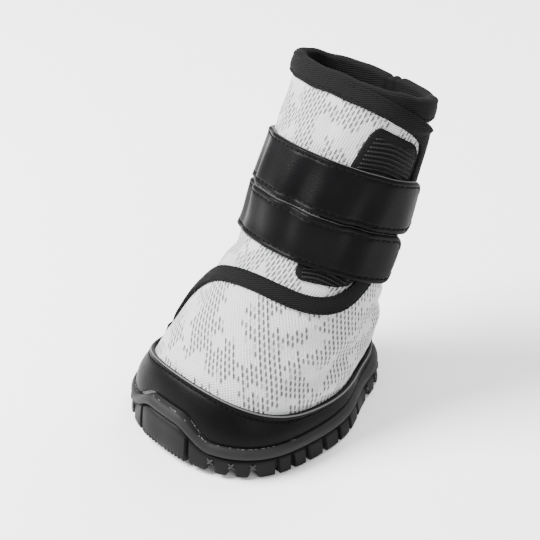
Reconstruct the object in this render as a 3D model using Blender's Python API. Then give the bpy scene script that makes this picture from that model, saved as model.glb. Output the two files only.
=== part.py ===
"""Dog boot for one paw: rubber cup sole, knit upper, toe guard, bindings and two straps.

The boot stands on its sole with its toe towards -Y and its own left towards +X.
The sizes below are millimetres; the model is built in metres.
A place on the boot's skin is given by two numbers. turn is an angle round the boot in
degrees: 0 is the toe, 90 the boot's left, 180 the heel and -90 its right. level runs up
the sections of the table, from 0 at the sole to TOP_LEVEL at the collar.
"""

import math

import bmesh
import bpy
from mathutils import Vector

MM = 0.001
CLEARANCE = 0.3

# Sole
SOLE_HALF_WIDTH = 41.5
SOLE_TOE_REACH = 43.0
SOLE_HEEL_REACH = 60.5
SOLE_CENTRE = 1.0
SOLE_TOE_SQUARENESS = 2.6
SOLE_HEEL_SQUARENESS = 2.0
WAIST_DIP = 0.135
WAIST_PLACE = 38.0
WAIST_SPREAD = 14.5
TREAD_HEIGHT = 7.0
RECESS_HEIGHT = 0.9
RECESS_DEPTH = 0.9
BEAD_HEIGHT = 4.2
BEAD_BULGE = 0.5
TOE_SPRING = 2.5
SPRING_START = 16.0
BUMPER_RISE = 7.0
BUMPER_HALF_TOP = 9.0
BUMPER_HALF_FOOT = 21.0
BUMPER_PROUD = 0.9
GROOVE_DEPTH = 2.2
GROOVE_WIDTH = 1.7
MEDALLION_RADIUS = 11.8

# Upper
SHAFT_HEIGHT = 125.5
FOOT_LENGTH = 98.0
BALL_WIDTH = 76.8
UPPER_WALL = 1.8
INSOLE_THICKNESS = 2.0

# Trim on the upper
GUARD_THICKNESS = 1.2
BINDING_THICKNESS = 1.2
BINDING_WIDTH = 6.8
COLLAR_BINDING_DROP = 7.0
PATCH_THICKNESS = 1.2
STRAP_THICKNESS = 1.8
STRAP_CORNER = 4.5
STRAP_SETTLED_TURN = -140.0
STRAP_RAISED_TURN = -60.0

# Sections of the upper's skin, sole to collar. centre, front and back are shares of
# FOOT_LENGTH, half_width of BALL_WIDTH, rise and toe_lift of SHAFT_HEIGHT, lean is degrees.
# centre is the widest point, front and back reach from it along the leaning section.
SECTION_COLUMNS = (
    "centre",
    "rise",
    "lean",
    "half_width",
    "front",
    "back",
    "toe_lift",
    "front_square",
    "back_square",
    "waist",
)
SECTIONS = {
    "feather": (0.010, 0.0606, 0.0, 0.500, 0.410, 0.588, 0.000, 2.60, 2.0, 0.15),
    "bead": (0.010, 0.1036, 1.0, 0.499, 0.402, 0.580, 0.040, 2.60, 2.0, 0.14),
    "guard": (0.031, 0.1514, 4.0, 0.480, 0.357, 0.549, 0.076, 2.45, 2.0, 0.11),
    "vamp": (0.122, 0.2470, 8.0, 0.456, 0.330, 0.485, 0.044, 2.20, 2.0, 0.04),
    "instep": (0.245, 0.3466, 17.0, 0.421, 0.304, 0.372, 0.018, 2.10, 2.0, 0.00),
    "ankle": (0.372, 0.4622, 25.0, 0.391, 0.291, 0.270, 0.000, 2.10, 2.0, 0.00),
    "shank": (0.459, 0.6096, 25.0, 0.391, 0.311, 0.250, 0.000, 2.10, 2.0, 0.00),
    "calf": (0.541, 0.7689, 24.0, 0.391, 0.281, 0.235, 0.000, 2.10, 2.0, 0.00),
    "cuff": (0.587, 0.8924, 22.0, 0.400, 0.235, 0.219, 0.000, 2.10, 2.0, 0.00),
    "collar": (0.622, 1.0000, 20.0, 0.414, 0.194, 0.199, 0.000, 2.10, 2.0, 0.00),
}
LEVEL = {name: float(number) for number, name in enumerate(SECTIONS)}
TOP_LEVEL = LEVEL["collar"]
COLUMN_SIZE = {
    "centre": FOOT_LENGTH,
    "front": FOOT_LENGTH,
    "back": FOOT_LENGTH,
    "half_width": BALL_WIDTH,
    "rise": SHAFT_HEIGHT,
    "toe_lift": SHAFT_HEIGHT,
}
TOE_LIFT_POWER = 3

# The flap's bound edge: up from the sole on the boot's right, across the instep, up its
# left side under the straps and over to the collar's front. Each row is (turn, level).
FLAP_FOOT_TURN = -81
FLAP_TAPER_SECTIONS = 5
FLAP_TAPER_END = 0.3
LAP_MARGIN = 0.17
LAP_CLIMB = 0.22
FLAP_EDGE = (
    (-80.5, 1.50),
    (-79, 1.95),
    (-77, 2.25),
    (-74, 2.50),
    (-67, 2.85),
    (-56, 3.40),
    (-43, 3.85),
    (-28, 4.13),
    (-10, 4.29),
    (8, 4.37),
    (26, 4.38),
    (44, 4.37),
    (60, 4.42),
    (72, 4.57),
    (80, 4.85),
    (87, 5.30),
    (94, 5.85),
    (100, 6.40),
    (106, 7.00),
    (109, 7.50),
    (107, 7.87),
    (98, 8.15),
    (84, 8.35),
    (68, 8.52),
    (50, 8.66),
    (32, 8.74),
    (16, 8.76),
)

# The fastening patch, bottom to top: its level at either end of the row and its two turns.
PATCH_ROWS = (
    (4.72, 31.0, 66.0, 4.80),
    (5.00, 29.0, 74.0, 5.02),
    (6.00, 35.0, 86.0, 6.00),
    (7.00, 42.0, 96.5, 7.00),
    (7.60, 45.5, 98.0, 7.50),
    (8.12, 49.0, 93.0, 7.84),
)

# Straps: lower and upper level, and the turns of the sewn end and the fastened end.
STRAP_GAP_LEVEL = 0.01
STRAPS = {
    "lower_strap": ("ankle", "shank", -172.0, 106.0),
    "upper_strap": ("shank", "calf", -172.0, 113.0),
}

# Tread grooves as (x, forward) in shares of the sole's half width and of its toe reach.
OVAL_SIDE = (
    (0.405, 0.430),
    (0.494, 0.279),
    (0.537, 0.128),
    (0.528, -0.047),
    (0.499, -0.209),
    (0.451, -0.372),
    (0.330, -0.526),
)
OVAL_FRONT_MIDDLE = 0.342
OVAL_BACK_MIDDLE = -0.409
TOE_BLOCK_SIDE = ((0.280, 0.430), (0.284, 0.720), (0.350, 1.060))
HEEL_BLOCK_SIDE = ((0.318, -0.600), (0.241, -0.814), (0.300, -1.279), (0.310, -1.500))
BLOCK_SPLITS = (
    ((0.460, 0.432), (1.060, 0.442)),
    ((0.590, 0.105), (1.100, 0.130)),
    ((0.555, -0.245), (1.100, -0.291)),
    ((0.400, -0.558), (1.000, -0.700)),
)
BLOCK_SLOTS = (
    ((0.72, 0.285), (1.10, 0.290)),
    ((0.74, -0.070), (1.10, -0.080)),
    ((0.70, -0.420), (1.08, -0.490)),
)
TOE_RIBS = (0.45, 0.54, 0.63, 0.72, 0.81, 0.90)
HEEL_RIBS = (-0.72, -0.82, -0.92, -1.02, -1.12, -1.22)
RIB_GROOVE_WIDTH = 1.3
TOE_RIB_HALF = 9.8
HEEL_RIB_HALF = 7.6
LOBE_TURNS = (26, 33, 40, 47, 54, 130, 137, 144, 151, 158)
LOBE_REACH = 2.2

# Mesh fineness
COLUMNS = 44
SOLE_COLUMNS = 2 * COLUMNS
OUTER_ROWS = 24
INNER_ROWS = 9
STRAP_SECTIONS = 36
MEDALLION_SIDES = 28

# Colours
BLACK_RUBBER = (0.025, 0.025, 0.027)
BLACK_LEATHER = (0.030, 0.030, 0.032)
BLACK_TAPE = (0.018, 0.018, 0.019)
GREY_KNIT = (0.62, 0.63, 0.64)
GREY_LINING = (0.45, 0.46, 0.47)


def hermite(values, place):
    """Smooth curve through evenly spaced values, read at place."""
    last = len(values) - 1
    place = min(max(place, 0.0), float(last))
    i = min(int(place), last - 1)
    f = place - i
    before, here, after, beyond = (values[min(max(j, 0), last)] for j in (i - 1, i, i + 1, i + 2))
    slope_in = (after - before) / (2 if i > 0 else 1)
    slope_out = (beyond - here) / (2 if i < last - 1 else 1)
    blend = f * f * (3 - 2 * f)
    return here + (after - here) * blend + f * (1 - f) * ((1 - f) * slope_in - f * slope_out)


def ramp(value):
    """Smooth step from 0 to 1."""
    value = min(max(value, 0.0), 1.0)
    return value * value * (3 - 2 * value)


def section(column, level):
    number = SECTION_COLUMNS.index(column)
    share = hermite([row[number] for row in SECTIONS.values()], level)
    return share * COLUMN_SIZE.get(column, 1.0)


def power(value, exponent):
    return math.copysign(abs(value) ** exponent, value)


def waist_factor(dip, y):
    return 1 - dip * math.exp(-(((y - WAIST_PLACE) / WAIST_SPREAD) ** 2))


def skin(turn, level):
    """A point on the upper's outer skin."""
    angle = math.radians(turn)
    ahead = math.cos(angle) > 0
    exponent = 2 / section("front_square" if ahead else "back_square", level)
    reach = section("front" if ahead else "back", level)
    forward = reach * power(math.cos(angle), exponent)
    lean = math.radians(section("lean", level))
    y = section("centre", level) - forward * math.cos(lean)
    z = section("rise", level) + forward * math.sin(lean)
    if ahead:
        z += section("toe_lift", level) * (forward / reach) ** TOE_LIFT_POWER
    x = section("half_width", level) * power(math.sin(angle), exponent)
    return Vector((x * waist_factor(section("waist", level), y), y, z))


def skin_slopes(turn, level):
    """How the skin's point moves for one degree of turn and for one level."""
    below = max(level - 0.05, 0.0)
    above = min(level + 0.05, TOP_LEVEL)
    round_slope = (skin(turn + 1.5, level) - skin(turn - 1.5, level)) / 3.0
    up_slope = (skin(turn, above) - skin(turn, below)) / (above - below)
    return round_slope, up_slope


def lifted(turn, level, lift, beyond=0.0):
    """A point lift off the skin, and beyond past the section along the shaft."""
    round_slope, up_slope = skin_slopes(turn, level)
    out = round_slope.cross(up_slope).normalized()
    return skin(turn, level) + out * lift + up_slope.normalized() * beyond


def sole_edge(turn, out=0.0):
    """The sole's outline in plan, moved out square to itself."""

    def outline(angle):
        ahead = math.cos(angle) > 0
        exponent = 2 / (SOLE_TOE_SQUARENESS if ahead else SOLE_HEEL_SQUARENESS)
        reach = SOLE_TOE_REACH if ahead else SOLE_HEEL_REACH
        y = SOLE_CENTRE - reach * power(math.cos(angle), exponent)
        x = SOLE_HALF_WIDTH * power(math.sin(angle), exponent)
        return Vector((x * waist_factor(WAIST_DIP, y), y, 0.0))

    angle = math.radians(turn)
    step = math.radians(1.5)
    along = (outline(angle + step) - outline(angle - step)).normalized()
    return outline(angle) + Vector((along.y, -along.x, 0.0)) * out


def toe_spring(y):
    return TOE_SPRING * max((-y - SPRING_START) / (SOLE_TOE_REACH - SPRING_START), 0.0) ** 2


def bumper(point):
    """How far the toe block lifts the bead, 0 to 1."""
    if point.y > 0:
        return 0.0
    return ramp((BUMPER_HALF_FOOT - abs(point.x)) / (BUMPER_HALF_FOOT - BUMPER_HALF_TOP))


SEAT_HEIGHT = SECTIONS["feather"][1] * SHAFT_HEIGHT - CLEARANCE
RIM_HEIGHT = TREAD_HEIGHT + RECESS_HEIGHT + BEAD_HEIGHT


def rim_top(turn):
    edge = sole_edge(turn)
    return RIM_HEIGHT + toe_spring(edge.y) + BUMPER_RISE * bumper(edge)


def clear_of_rim(turn):
    """A height that stays over the bead for a few degrees either side."""
    return max(rim_top(turn + aside) for aside in (-5.0, -2.5, 0.0, 2.5, 5.0)) + 2 * CLEARANCE


def level_at_height(turn, height, lift=0.0):
    """The level at which the lifted skin reaches a height."""
    low, high = 0.0, LEVEL["vamp"]
    for _ in range(24):
        middle = (low + high) / 2
        if lifted(turn, middle, lift).z < height:
            low = middle
        else:
            high = middle
    return (low + high) / 2


def even(count, low, high):
    """count values from low to high, both ends in."""
    return [low + (high - low) * i / (count - 1) for i in range(count)]


def turns(count):
    return [360.0 * i / count for i in range(count)]


def material(name, colour, roughness):
    made = bpy.data.materials.new(name)
    made.use_nodes = True
    shader = made.node_tree.nodes["Principled BSDF"]
    shader.inputs["Base Color"].default_value = (*colour, 1.0)
    shader.inputs["Roughness"].default_value = roughness
    shader.inputs["Metallic"].default_value = 0.0
    return made


def new_object(name, shape, finish, parent=None, sharp=40.0):
    """Makes an object of a bmesh whose corners are millimetres."""
    bmesh.ops.scale(shape, vec=(MM, MM, MM), verts=shape.verts)
    bmesh.ops.recalc_face_normals(shape, faces=shape.faces)
    mesh = bpy.data.meshes.new(name)
    shape.to_mesh(mesh)
    shape.free()
    mesh.shade_smooth()
    mesh.set_sharp_from_angle(angle=math.radians(sharp))
    mesh.materials.append(finish)
    made = bpy.data.objects.new(name, mesh)
    bpy.context.scene.collection.objects.link(made)
    made.parent = parent
    return made


def loop_of(shape, points):
    return [shape.verts.new(point) for point in points]


def join_loops(shape, first, second, closed=True):
    count = len(first)
    for i in range(count if closed else count - 1):
        j = (i + 1) % count
        shape.faces.new((first[i], first[j], second[j], second[i]))


def cap(shape, loop):
    """Closes a loop with a fan about its middle."""
    middle = shape.verts.new(sum((v.co for v in loop), Vector()) / len(loop))
    for i, here in enumerate(loop):
        shape.faces.new((here, loop[(i + 1) % len(loop)], middle))


def ring_solid(loops):
    """A closed tube of tubes: each loop runs round the boot, the last joins the first."""
    shape = bmesh.new()
    made = [loop_of(shape, points) for points in loops]
    for i, here in enumerate(made):
        join_loops(shape, here, made[(i + 1) % len(made)])
    return shape


def bar_solid(sections):
    """A bar from equal closed sections, with flat ends."""
    shape = bmesh.new()
    made = [loop_of(shape, points) for points in sections]
    for here, there in zip(made, made[1:]):
        join_loops(shape, here, there)
    for end in (made[0], made[-1]):
        cap(shape, end)
    return shape


def sheet_section(rows_out, rows_in):
    """One closed section across a thin sheet: out along its face and back along its lining."""
    return rows_out + rows_in[::-1]


def build_upper(root, finish):
    """The knit shell: open at the collar and over the sole."""
    outside = [
        [lifted(turn, level, 0.0) for turn in turns(COLUMNS)]
        for level in even(OUTER_ROWS, 0.0, TOP_LEVEL)
    ]
    inside = [
        [lifted(turn, level, -UPPER_WALL) for turn in turns(COLUMNS)]
        for level in even(INNER_ROWS, TOP_LEVEL, 0.0)
    ]
    for point in inside[-1]:
        point.z = section("rise", 0.0)
    return new_object("upper", ring_solid(outside + inside), finish, root)


def build_insole(root, finish):
    """A flat pad on the sole's seat, inside the upper's wall."""
    bottom = SEAT_HEIGHT + CLEARANCE
    top = bottom + INSOLE_THICKNESS
    shape = bmesh.new()
    loops = []
    for height in (bottom, top):
        edge = []
        for turn in turns(COLUMNS):
            point = lifted(turn, level_at_height(turn, top), -UPPER_WALL - 2 * CLEARANCE)
            edge.append(Vector((point.x, point.y, height)))
        loops.append(loop_of(shape, edge))
    join_loops(shape, loops[0], loops[1])
    for loop in loops:
        cap(shape, loop)
    return new_object("insole", shape, finish, root)


def sole_rings():
    """Rings of the sole's skin, from the middle of the tread round to the middle of the seat."""
    places = turns(SOLE_COLUMNS)
    edge = [sole_edge(turn) for turn in places]
    middle = Vector((0.0, SOLE_CENTRE + (SOLE_HEEL_REACH - SOLE_TOE_REACH) / 2, 0.0))

    def tread(share):
        ring = []
        for point in edge:
            place = middle.lerp(point, share)
            ring.append(Vector((place.x, place.y, toe_spring(place.y))))
        return ring

    def wall(out, height, lifts, proud=0.0):
        ring = []
        for turn, point in zip(places, edge):
            rise = bumper(point)
            place = sole_edge(turn, out + proud * rise)
            place.z = height + toe_spring(point.y) + lifts * BUMPER_RISE * rise
            ring.append(place)
        return ring

    def cup(share):
        ring = []
        for turn in places:
            top = level_at_height(turn, rim_top(turn), CLEARANCE)
            ring.append(lifted(turn, top * share, CLEARANCE))
        return ring

    recess_low = TREAD_HEIGHT
    recess_high = TREAD_HEIGHT + RECESS_HEIGHT
    rings = [tread(share) for share in (0.5, 0.8)]
    rings += [
        wall(-0.7, 0.0, 0.0),
        wall(0.0, 0.7, 0.0, BUMPER_PROUD),
        wall(0.0, recess_low - 0.2, 1.0, BUMPER_PROUD),
        wall(-RECESS_DEPTH, (recess_low + recess_high) / 2, 1.0),
        wall(BEAD_BULGE * 0.5, recess_high + 0.3, 1.0),
        wall(BEAD_BULGE, recess_high + BEAD_HEIGHT * 0.40, 1.0),
        wall(BEAD_BULGE * 0.2, recess_high + BEAD_HEIGHT * 0.82, 1.0),
        wall(-1.1, recess_high + BEAD_HEIGHT, 1.0),
    ]
    rings += [cup(share) for share in (1.0, 0.7, 0.35)]
    seat = cup(0.0)
    for point in seat:
        point.z = SEAT_HEIGHT
    rings.append(seat)
    return rings


def groove(shape, route, width, depth=GROOVE_DEPTH, closed=False):
    """Adds a cutter along a route of (x, forward) places, deeper than the tread's face."""
    route = [Vector((x, -forward, 0.0)) for x, forward in route]
    count = len(route)
    loops = []
    for i, here in enumerate(route):
        if closed:
            along = route[(i + 1) % count] - route[i - 1]
        else:
            along = route[min(i + 1, count - 1)] - route[max(i - 1, 0)]
        side = Vector((along.y, -along.x, 0.0)).normalized() * width / 2
        top = Vector((0.0, 0.0, depth + toe_spring(here.y)))
        low = Vector((0.0, 0.0, -3.0))
        corners = ((-side, low), (side, low), (side, top), (-side, top))
        loops.append(loop_of(shape, [here + aside + level for aside, level in corners]))
    for here, there in zip(loops, loops[1:]):
        join_loops(shape, here, there)
    if closed:
        join_loops(shape, loops[-1], loops[0])
    else:
        shape.faces.new(loops[0])
        shape.faces.new(loops[-1])


def tread_place(share):
    return share[0] * SOLE_HALF_WIDTH, share[1] * SOLE_TOE_REACH


def refined(route, pieces=3):
    """A smooth route through tread places."""
    count = (len(route) - 1) * pieces
    columns = [[place[k] for place in route] for k in (0, 1)]
    return [tuple(hermite(column, i / pieces) for column in columns) for i in range(count + 1)]


def mirrored(route):
    return [(-x, forward) for x, forward in route]


def straight(route, pieces=6):
    """A straight run with extra places, so that the cutter follows the toe spring."""
    (x0, f0), (x1, f1) = route
    return [(x0 + (x1 - x0) * i / pieces, f0 + (f1 - f0) * i / pieces) for i in range(pieces + 1)]


def fine_grooves(shape):
    """The medallion's ring, the ribs of toe and heel, the slots and the lobes of the edge."""
    radius = MEDALLION_RADIUS + GROOVE_WIDTH / 2
    bearings = [math.radians(turn) for turn in turns(MEDALLION_SIDES)]
    circle = [(radius * math.cos(bearing), radius * math.sin(bearing)) for bearing in bearings]
    groove(shape, circle, GROOVE_WIDTH, closed=True)
    for place in TOE_RIBS:
        forward = place * SOLE_TOE_REACH
        groove(shape, straight(((-TOE_RIB_HALF, forward), (TOE_RIB_HALF, forward)), 1), RIB_GROOVE_WIDTH)
    for place in HEEL_RIBS:
        forward = place * SOLE_TOE_REACH
        groove(shape, straight(((-HEEL_RIB_HALF, forward), (HEEL_RIB_HALF, forward)), 1), RIB_GROOVE_WIDTH)
    for slot in BLOCK_SLOTS:
        route = [tread_place(place) for place in slot]
        groove(shape, route, GROOVE_WIDTH)
        groove(shape, mirrored(route), GROOVE_WIDTH)
    for turn in LOBE_TURNS:
        inner, outer = sole_edge(turn, -LOBE_REACH), sole_edge(turn, LOBE_REACH)
        route = [(inner.x, -inner.y), (outer.x, -outer.y)]
        groove(shape, route, GROOVE_WIDTH)
        groove(shape, mirrored(route), GROOVE_WIDTH)


def oval_groove(shape):
    """The edge of the middle field: two sides and the arcs of the toe and heel blocks."""
    side = refined([tread_place(place) for place in OVAL_SIDE], 2)
    front = (0.0, OVAL_FRONT_MIDDLE * SOLE_TOE_REACH)
    back = (0.0, OVAL_BACK_MIDDLE * SOLE_TOE_REACH)

    def arc(start, middle, pieces=4):
        half = start[0]
        return [
            (half * (1 - i / pieces), middle[1] + (start[1] - middle[1]) * (1 - i / pieces) ** 2)
            for i in range(1, pieces + 1)
        ]

    back_arc = arc(side[-1], back)
    front_arc = arc(side[0], front)
    route = side + back_arc + mirrored(back_arc[:-1])[::-1] + mirrored(side)[::-1]
    route += mirrored(front_arc[:-1]) + front_arc[::-1]
    groove(shape, route, GROOVE_WIDTH, closed=True)


def block_grooves(shape):
    """The splits between blocks and the sides of the toe and heel blocks."""
    for split in BLOCK_SPLITS:
        route = straight([tread_place(place) for place in split])
        groove(shape, route, GROOVE_WIDTH)
        groove(shape, mirrored(route), GROOVE_WIDTH)
    for side in (TOE_BLOCK_SIDE, HEEL_BLOCK_SIDE):
        route = refined([tread_place(place) for place in side])
        groove(shape, route, GROOVE_WIDTH)
        groove(shape, mirrored(route), GROOVE_WIDTH)


def cut(target, cutter):
    cutter.hide_render = True
    cutter.display_type = "WIRE"
    modifier = target.modifiers.new(cutter.name, "BOOLEAN")
    modifier.operation = "DIFFERENCE"
    modifier.solver = "EXACT"
    modifier.object = cutter


def build_outsole(root, finish):
    """The moulded cup sole: tread, side wall, recessed line, bead, toe bumper and seat."""
    shape = bmesh.new()
    made = [loop_of(shape, ring) for ring in sole_rings()]
    for here, there in zip(made, made[1:]):
        join_loops(shape, here, there)
    cap(shape, made[0])
    cap(shape, made[-1])
    sole = new_object("outsole", shape, finish, root, sharp=35.0)
    for name, fill in (
        ("oval_cutter", oval_groove),
        ("block_cutter", block_grooves),
        ("fine_cutter", fine_grooves),
    ):
        cutter_shape = bmesh.new()
        fill(cutter_shape)
        cut(sole, new_object(name, cutter_shape, finish, root))
    return sole


def guard_top_level(turn):
    """The toe guard's upper edge: a little higher along the sides and highest at the heel."""
    aside = math.sin(math.radians(turn)) ** 2
    behind = max(-math.cos(math.radians(turn)), 0.0) ** 2
    return LEVEL["guard"] + 0.1 * aside + 0.45 * behind


def build_toe_guard(root, finish):
    """The leather band over the upper's foot, from the sole's bead up."""
    inner, outer = CLEARANCE, CLEARANCE + GUARD_THICKNESS
    columns = []
    for turn in turns(COLUMNS):
        low = level_at_height(turn, clear_of_rim(turn), outer)
        columns.append((turn, low, guard_top_level(turn)))

    def ring(share, lift, top_trim=0.0):
        return [lifted(turn, low + (high - top_trim - low) * share, lift) for turn, low, high in columns]

    loops = [ring(share, outer) for share in (0.0, 0.34, 0.67)]
    loops.append(ring(1.0, outer, 0.05))
    loops.append(ring(1.0, outer - 0.4))
    loops += [ring(share, inner) for share in (1.0, 0.67, 0.34, 0.0)]
    return new_object("toe_guard", ring_solid(loops), finish, root)


def build_collar_binding(root, finish):
    """The folded tape over the collar's edge, with an outer and an inner leg."""
    out_in, out_out = CLEARANCE, CLEARANCE + BINDING_THICKNESS
    in_out = -UPPER_WALL - CLEARANCE
    in_in = in_out - BINDING_THICKNESS
    middle = (out_out + in_in) / 2
    crown = CLEARANCE + BINDING_THICKNESS
    profile = (
        (out_in, -COLLAR_BINDING_DROP),
        (out_out, -COLLAR_BINDING_DROP),
        (out_out, -COLLAR_BINDING_DROP / 2),
        (out_out, -0.3),
        (out_out - 0.7, crown - 0.5),
        (middle, crown),
        (in_in + 0.7, crown - 0.5),
        (in_in, -0.3),
        (in_in, -COLLAR_BINDING_DROP + 1.0),
        (in_out, -COLLAR_BINDING_DROP + 1.0),
        (in_out, CLEARANCE),
        (out_in, CLEARANCE),
    )

    def ring(lift, along):
        points = []
        for turn in turns(COLUMNS):
            rise = skin_slopes(turn, TOP_LEVEL)[1].length
            if along <= 0:
                points.append(lifted(turn, TOP_LEVEL + along / rise, lift))
            else:
                points.append(lifted(turn, TOP_LEVEL, lift, beyond=along))
        return points

    return new_object("collar_binding", ring_solid([ring(*place) for place in profile]), finish, root)


def beside(turn, level, along, sideways):
    """The (turn, level) that lies sideways millimetres to the left of a run along the skin."""
    round_slope, up_slope = skin_slopes(turn, level)
    out = round_slope.cross(up_slope).normalized()
    side = out.cross(along.normalized()) * sideways
    across = round_slope.cross(up_slope)
    scale = across.length_squared
    turn_step = side.cross(up_slope).dot(across) / scale
    level_step = round_slope.cross(side).dot(across) / scale
    return turn + turn_step, level + level_step


def layer_lift(turn, level):
    """How far the flap's binding stands off to pass over the guard and the collar binding."""
    guard_edge = guard_top_level(turn) + LAP_MARGIN
    collar_edge = TOP_LEVEL - COLLAR_BINDING_DROP / skin_slopes(turn, TOP_LEVEL)[1].length - LAP_MARGIN
    over_guard = ramp((guard_edge + LAP_CLIMB - level) / LAP_CLIMB)
    over_collar = ramp((level - collar_edge + LAP_CLIMB) / LAP_CLIMB)
    return (
        CLEARANCE
        + over_guard * (GUARD_THICKNESS + CLEARANCE)
        + over_collar * (BINDING_THICKNESS + CLEARANCE)
    )


def build_flap_binding(root, finish):
    """The tape on the flap's edge, as one flat bar laid on the skin."""
    pieces = 2
    foot_lift = layer_lift(FLAP_FOOT_TURN, LEVEL["bead"]) + BINDING_THICKNESS
    foot_height = clear_of_rim(FLAP_FOOT_TURN) + 2 * CLEARANCE
    foot = (FLAP_FOOT_TURN, level_at_height(FLAP_FOOT_TURN, foot_height, foot_lift))
    columns = [[float(place[k]) for place in (foot, *FLAP_EDGE)] for k in (0, 1)]
    route = [
        tuple(hermite(column, i / pieces) for column in columns)
        for i in range(len(FLAP_EDGE) * pieces + 1)
    ]
    half = BINDING_WIDTH / 2
    chamfer = BINDING_THICKNESS * 0.4
    sections = []
    for i, (turn, level) in enumerate(route):
        before, after = route[max(i - 1, 0)], route[min(i + 1, len(route) - 1)]
        along = skin(*after) - skin(*before)
        left = (len(route) - 1 - i) / FLAP_TAPER_SECTIONS
        thick = BINDING_THICKNESS * (FLAP_TAPER_END + (1 - FLAP_TAPER_END) * ramp(left))

        def at(sideways, lift):
            place = beside(turn, level, along, sideways)
            place = (place[0], min(place[1], TOP_LEVEL))
            return lifted(*place, layer_lift(*place) + lift)

        face = [at(-half, thick / 2), at(-half + chamfer, thick), at(0.0, thick)]
        face += [at(half - chamfer, thick), at(half, thick / 2)]
        lining = [at(sideways, 0.0) for sideways in (-half, 0.0, half)]
        sections.append(sheet_section(face, lining))
    return new_object("flap_binding", bar_solid(sections), finish, root)


def build_patch(root, finish):
    """The fastening patch on the flap, under both straps, with rounded corners."""
    inner, outer = CLEARANCE, CLEARANCE + PATCH_THICKNESS
    columns = [[row[k] for row in PATCH_ROWS] for k in range(4)]
    rows, across = 17, 8
    corner = 0.14
    sections = []
    for i in range(rows):
        share = i / (rows - 1)
        place = share * (len(PATCH_ROWS) - 1)
        left_level, left_turn, right_turn, right_level = (hermite(column, place) for column in columns)
        near_end = min(share, 1 - share) * (rows - 1) / 2
        trim = corner * (1 - math.sqrt(1 - (1 - min(near_end, 1.0)) ** 2))
        face, lining = [], []
        for j in range(across):
            part = trim + (1 - 2 * trim) * j / (across - 1)
            turn = left_turn + (right_turn - left_turn) * part
            level = left_level + (right_level - left_level) * part
            face.append(lifted(turn, level, outer))
            lining.append(lifted(turn, level, inner))
        sections.append(sheet_section(face, lining))
    return new_object("hook_patch", bar_solid(sections), finish, root)


def build_strap(name, root, finish):
    """A strap wound from the back seam round the boot's right and front to its left side."""
    low_name, high_name, sewn, fastened = STRAPS[name]
    low = LEVEL[low_name] + STRAP_GAP_LEVEL
    high = LEVEL[high_name] - STRAP_GAP_LEVEL
    over_trim = 2 * CLEARANCE + max(BINDING_THICKNESS, PATCH_THICKNESS)
    rise = (skin(fastened, high) - skin(fastened, low)).length
    sweep = skin_slopes(fastened, (low + high) / 2)[0].length
    corner_turn = STRAP_CORNER / sweep
    corner_level = STRAP_CORNER / rise * (high - low)
    places = even(STRAP_SECTIONS, sewn, fastened - corner_turn)
    places += [fastened - corner_turn * (1 - share) for share in (0.35, 0.65, 0.87, 1.0)]
    sections = []
    for turn in places:
        into = max(turn - fastened + corner_turn, 0.0) / corner_turn
        trim = corner_level * (1 - math.sqrt(max(1 - into * into, 0.0)))
        bottom, top = low + trim, high - trim
        levels = even(4, bottom, top)
        onto_trim = ramp((turn - STRAP_SETTLED_TURN) / (STRAP_RAISED_TURN - STRAP_SETTLED_TURN))
        inner = CLEARANCE + (over_trim - CLEARANCE) * onto_trim
        outer = inner + STRAP_THICKNESS
        face = [lifted(turn, level, outer) for level in levels]
        lining = [lifted(turn, level, inner) for level in levels]
        sections.append(sheet_section(face, lining))
    return new_object(name, bar_solid(sections), finish, root)


def centre_on_origin(root):
    """Puts the middle of the boot's footprint box over the origin."""
    bpy.context.view_layer.update()
    corners = [
        made.matrix_world @ vertex.co
        for made in bpy.context.scene.objects
        if made.type == "MESH" and not made.hide_render
        for vertex in made.data.vertices
    ]
    for axis in (0, 1):
        values = [corner[axis] for corner in corners]
        root.location[axis] = -(min(values) + max(values)) / 2


def main():
    for old in list(bpy.data.objects):
        bpy.data.objects.remove(old, do_unlink=True)
    root = bpy.data.objects.new("boot_frame", None)
    bpy.context.scene.collection.objects.link(root)
    rubber = material("sole_rubber", BLACK_RUBBER, 0.6)
    knit = material("knit", GREY_KNIT, 0.85)
    lining = material("lining", GREY_LINING, 0.9)
    leather = material("leather", BLACK_LEATHER, 0.45)
    tape = material("tape", BLACK_TAPE, 0.8)
    hooks = material("hook_tape", BLACK_TAPE, 0.7)
    build_outsole(root, rubber)
    build_upper(root, knit)
    build_insole(root, lining)
    build_toe_guard(root, leather)
    build_collar_binding(root, tape)
    build_flap_binding(root, tape)
    build_patch(root, hooks)
    for name in STRAPS:
        build_strap(name, root, leather)
    centre_on_origin(root)


main()
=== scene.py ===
"""Looks of the dog boot: knit, leather, twill tape, hook patch and moulded rubber.

Lengths are millimetres in the boot's own frame, whose origin lies under the tread's round
medallion with the toe towards -Y. A place on the skin is (turn, level): turn is degrees
round the boot from the toe, level counts the sections from the sole to the collar.
"""

import math

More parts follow.
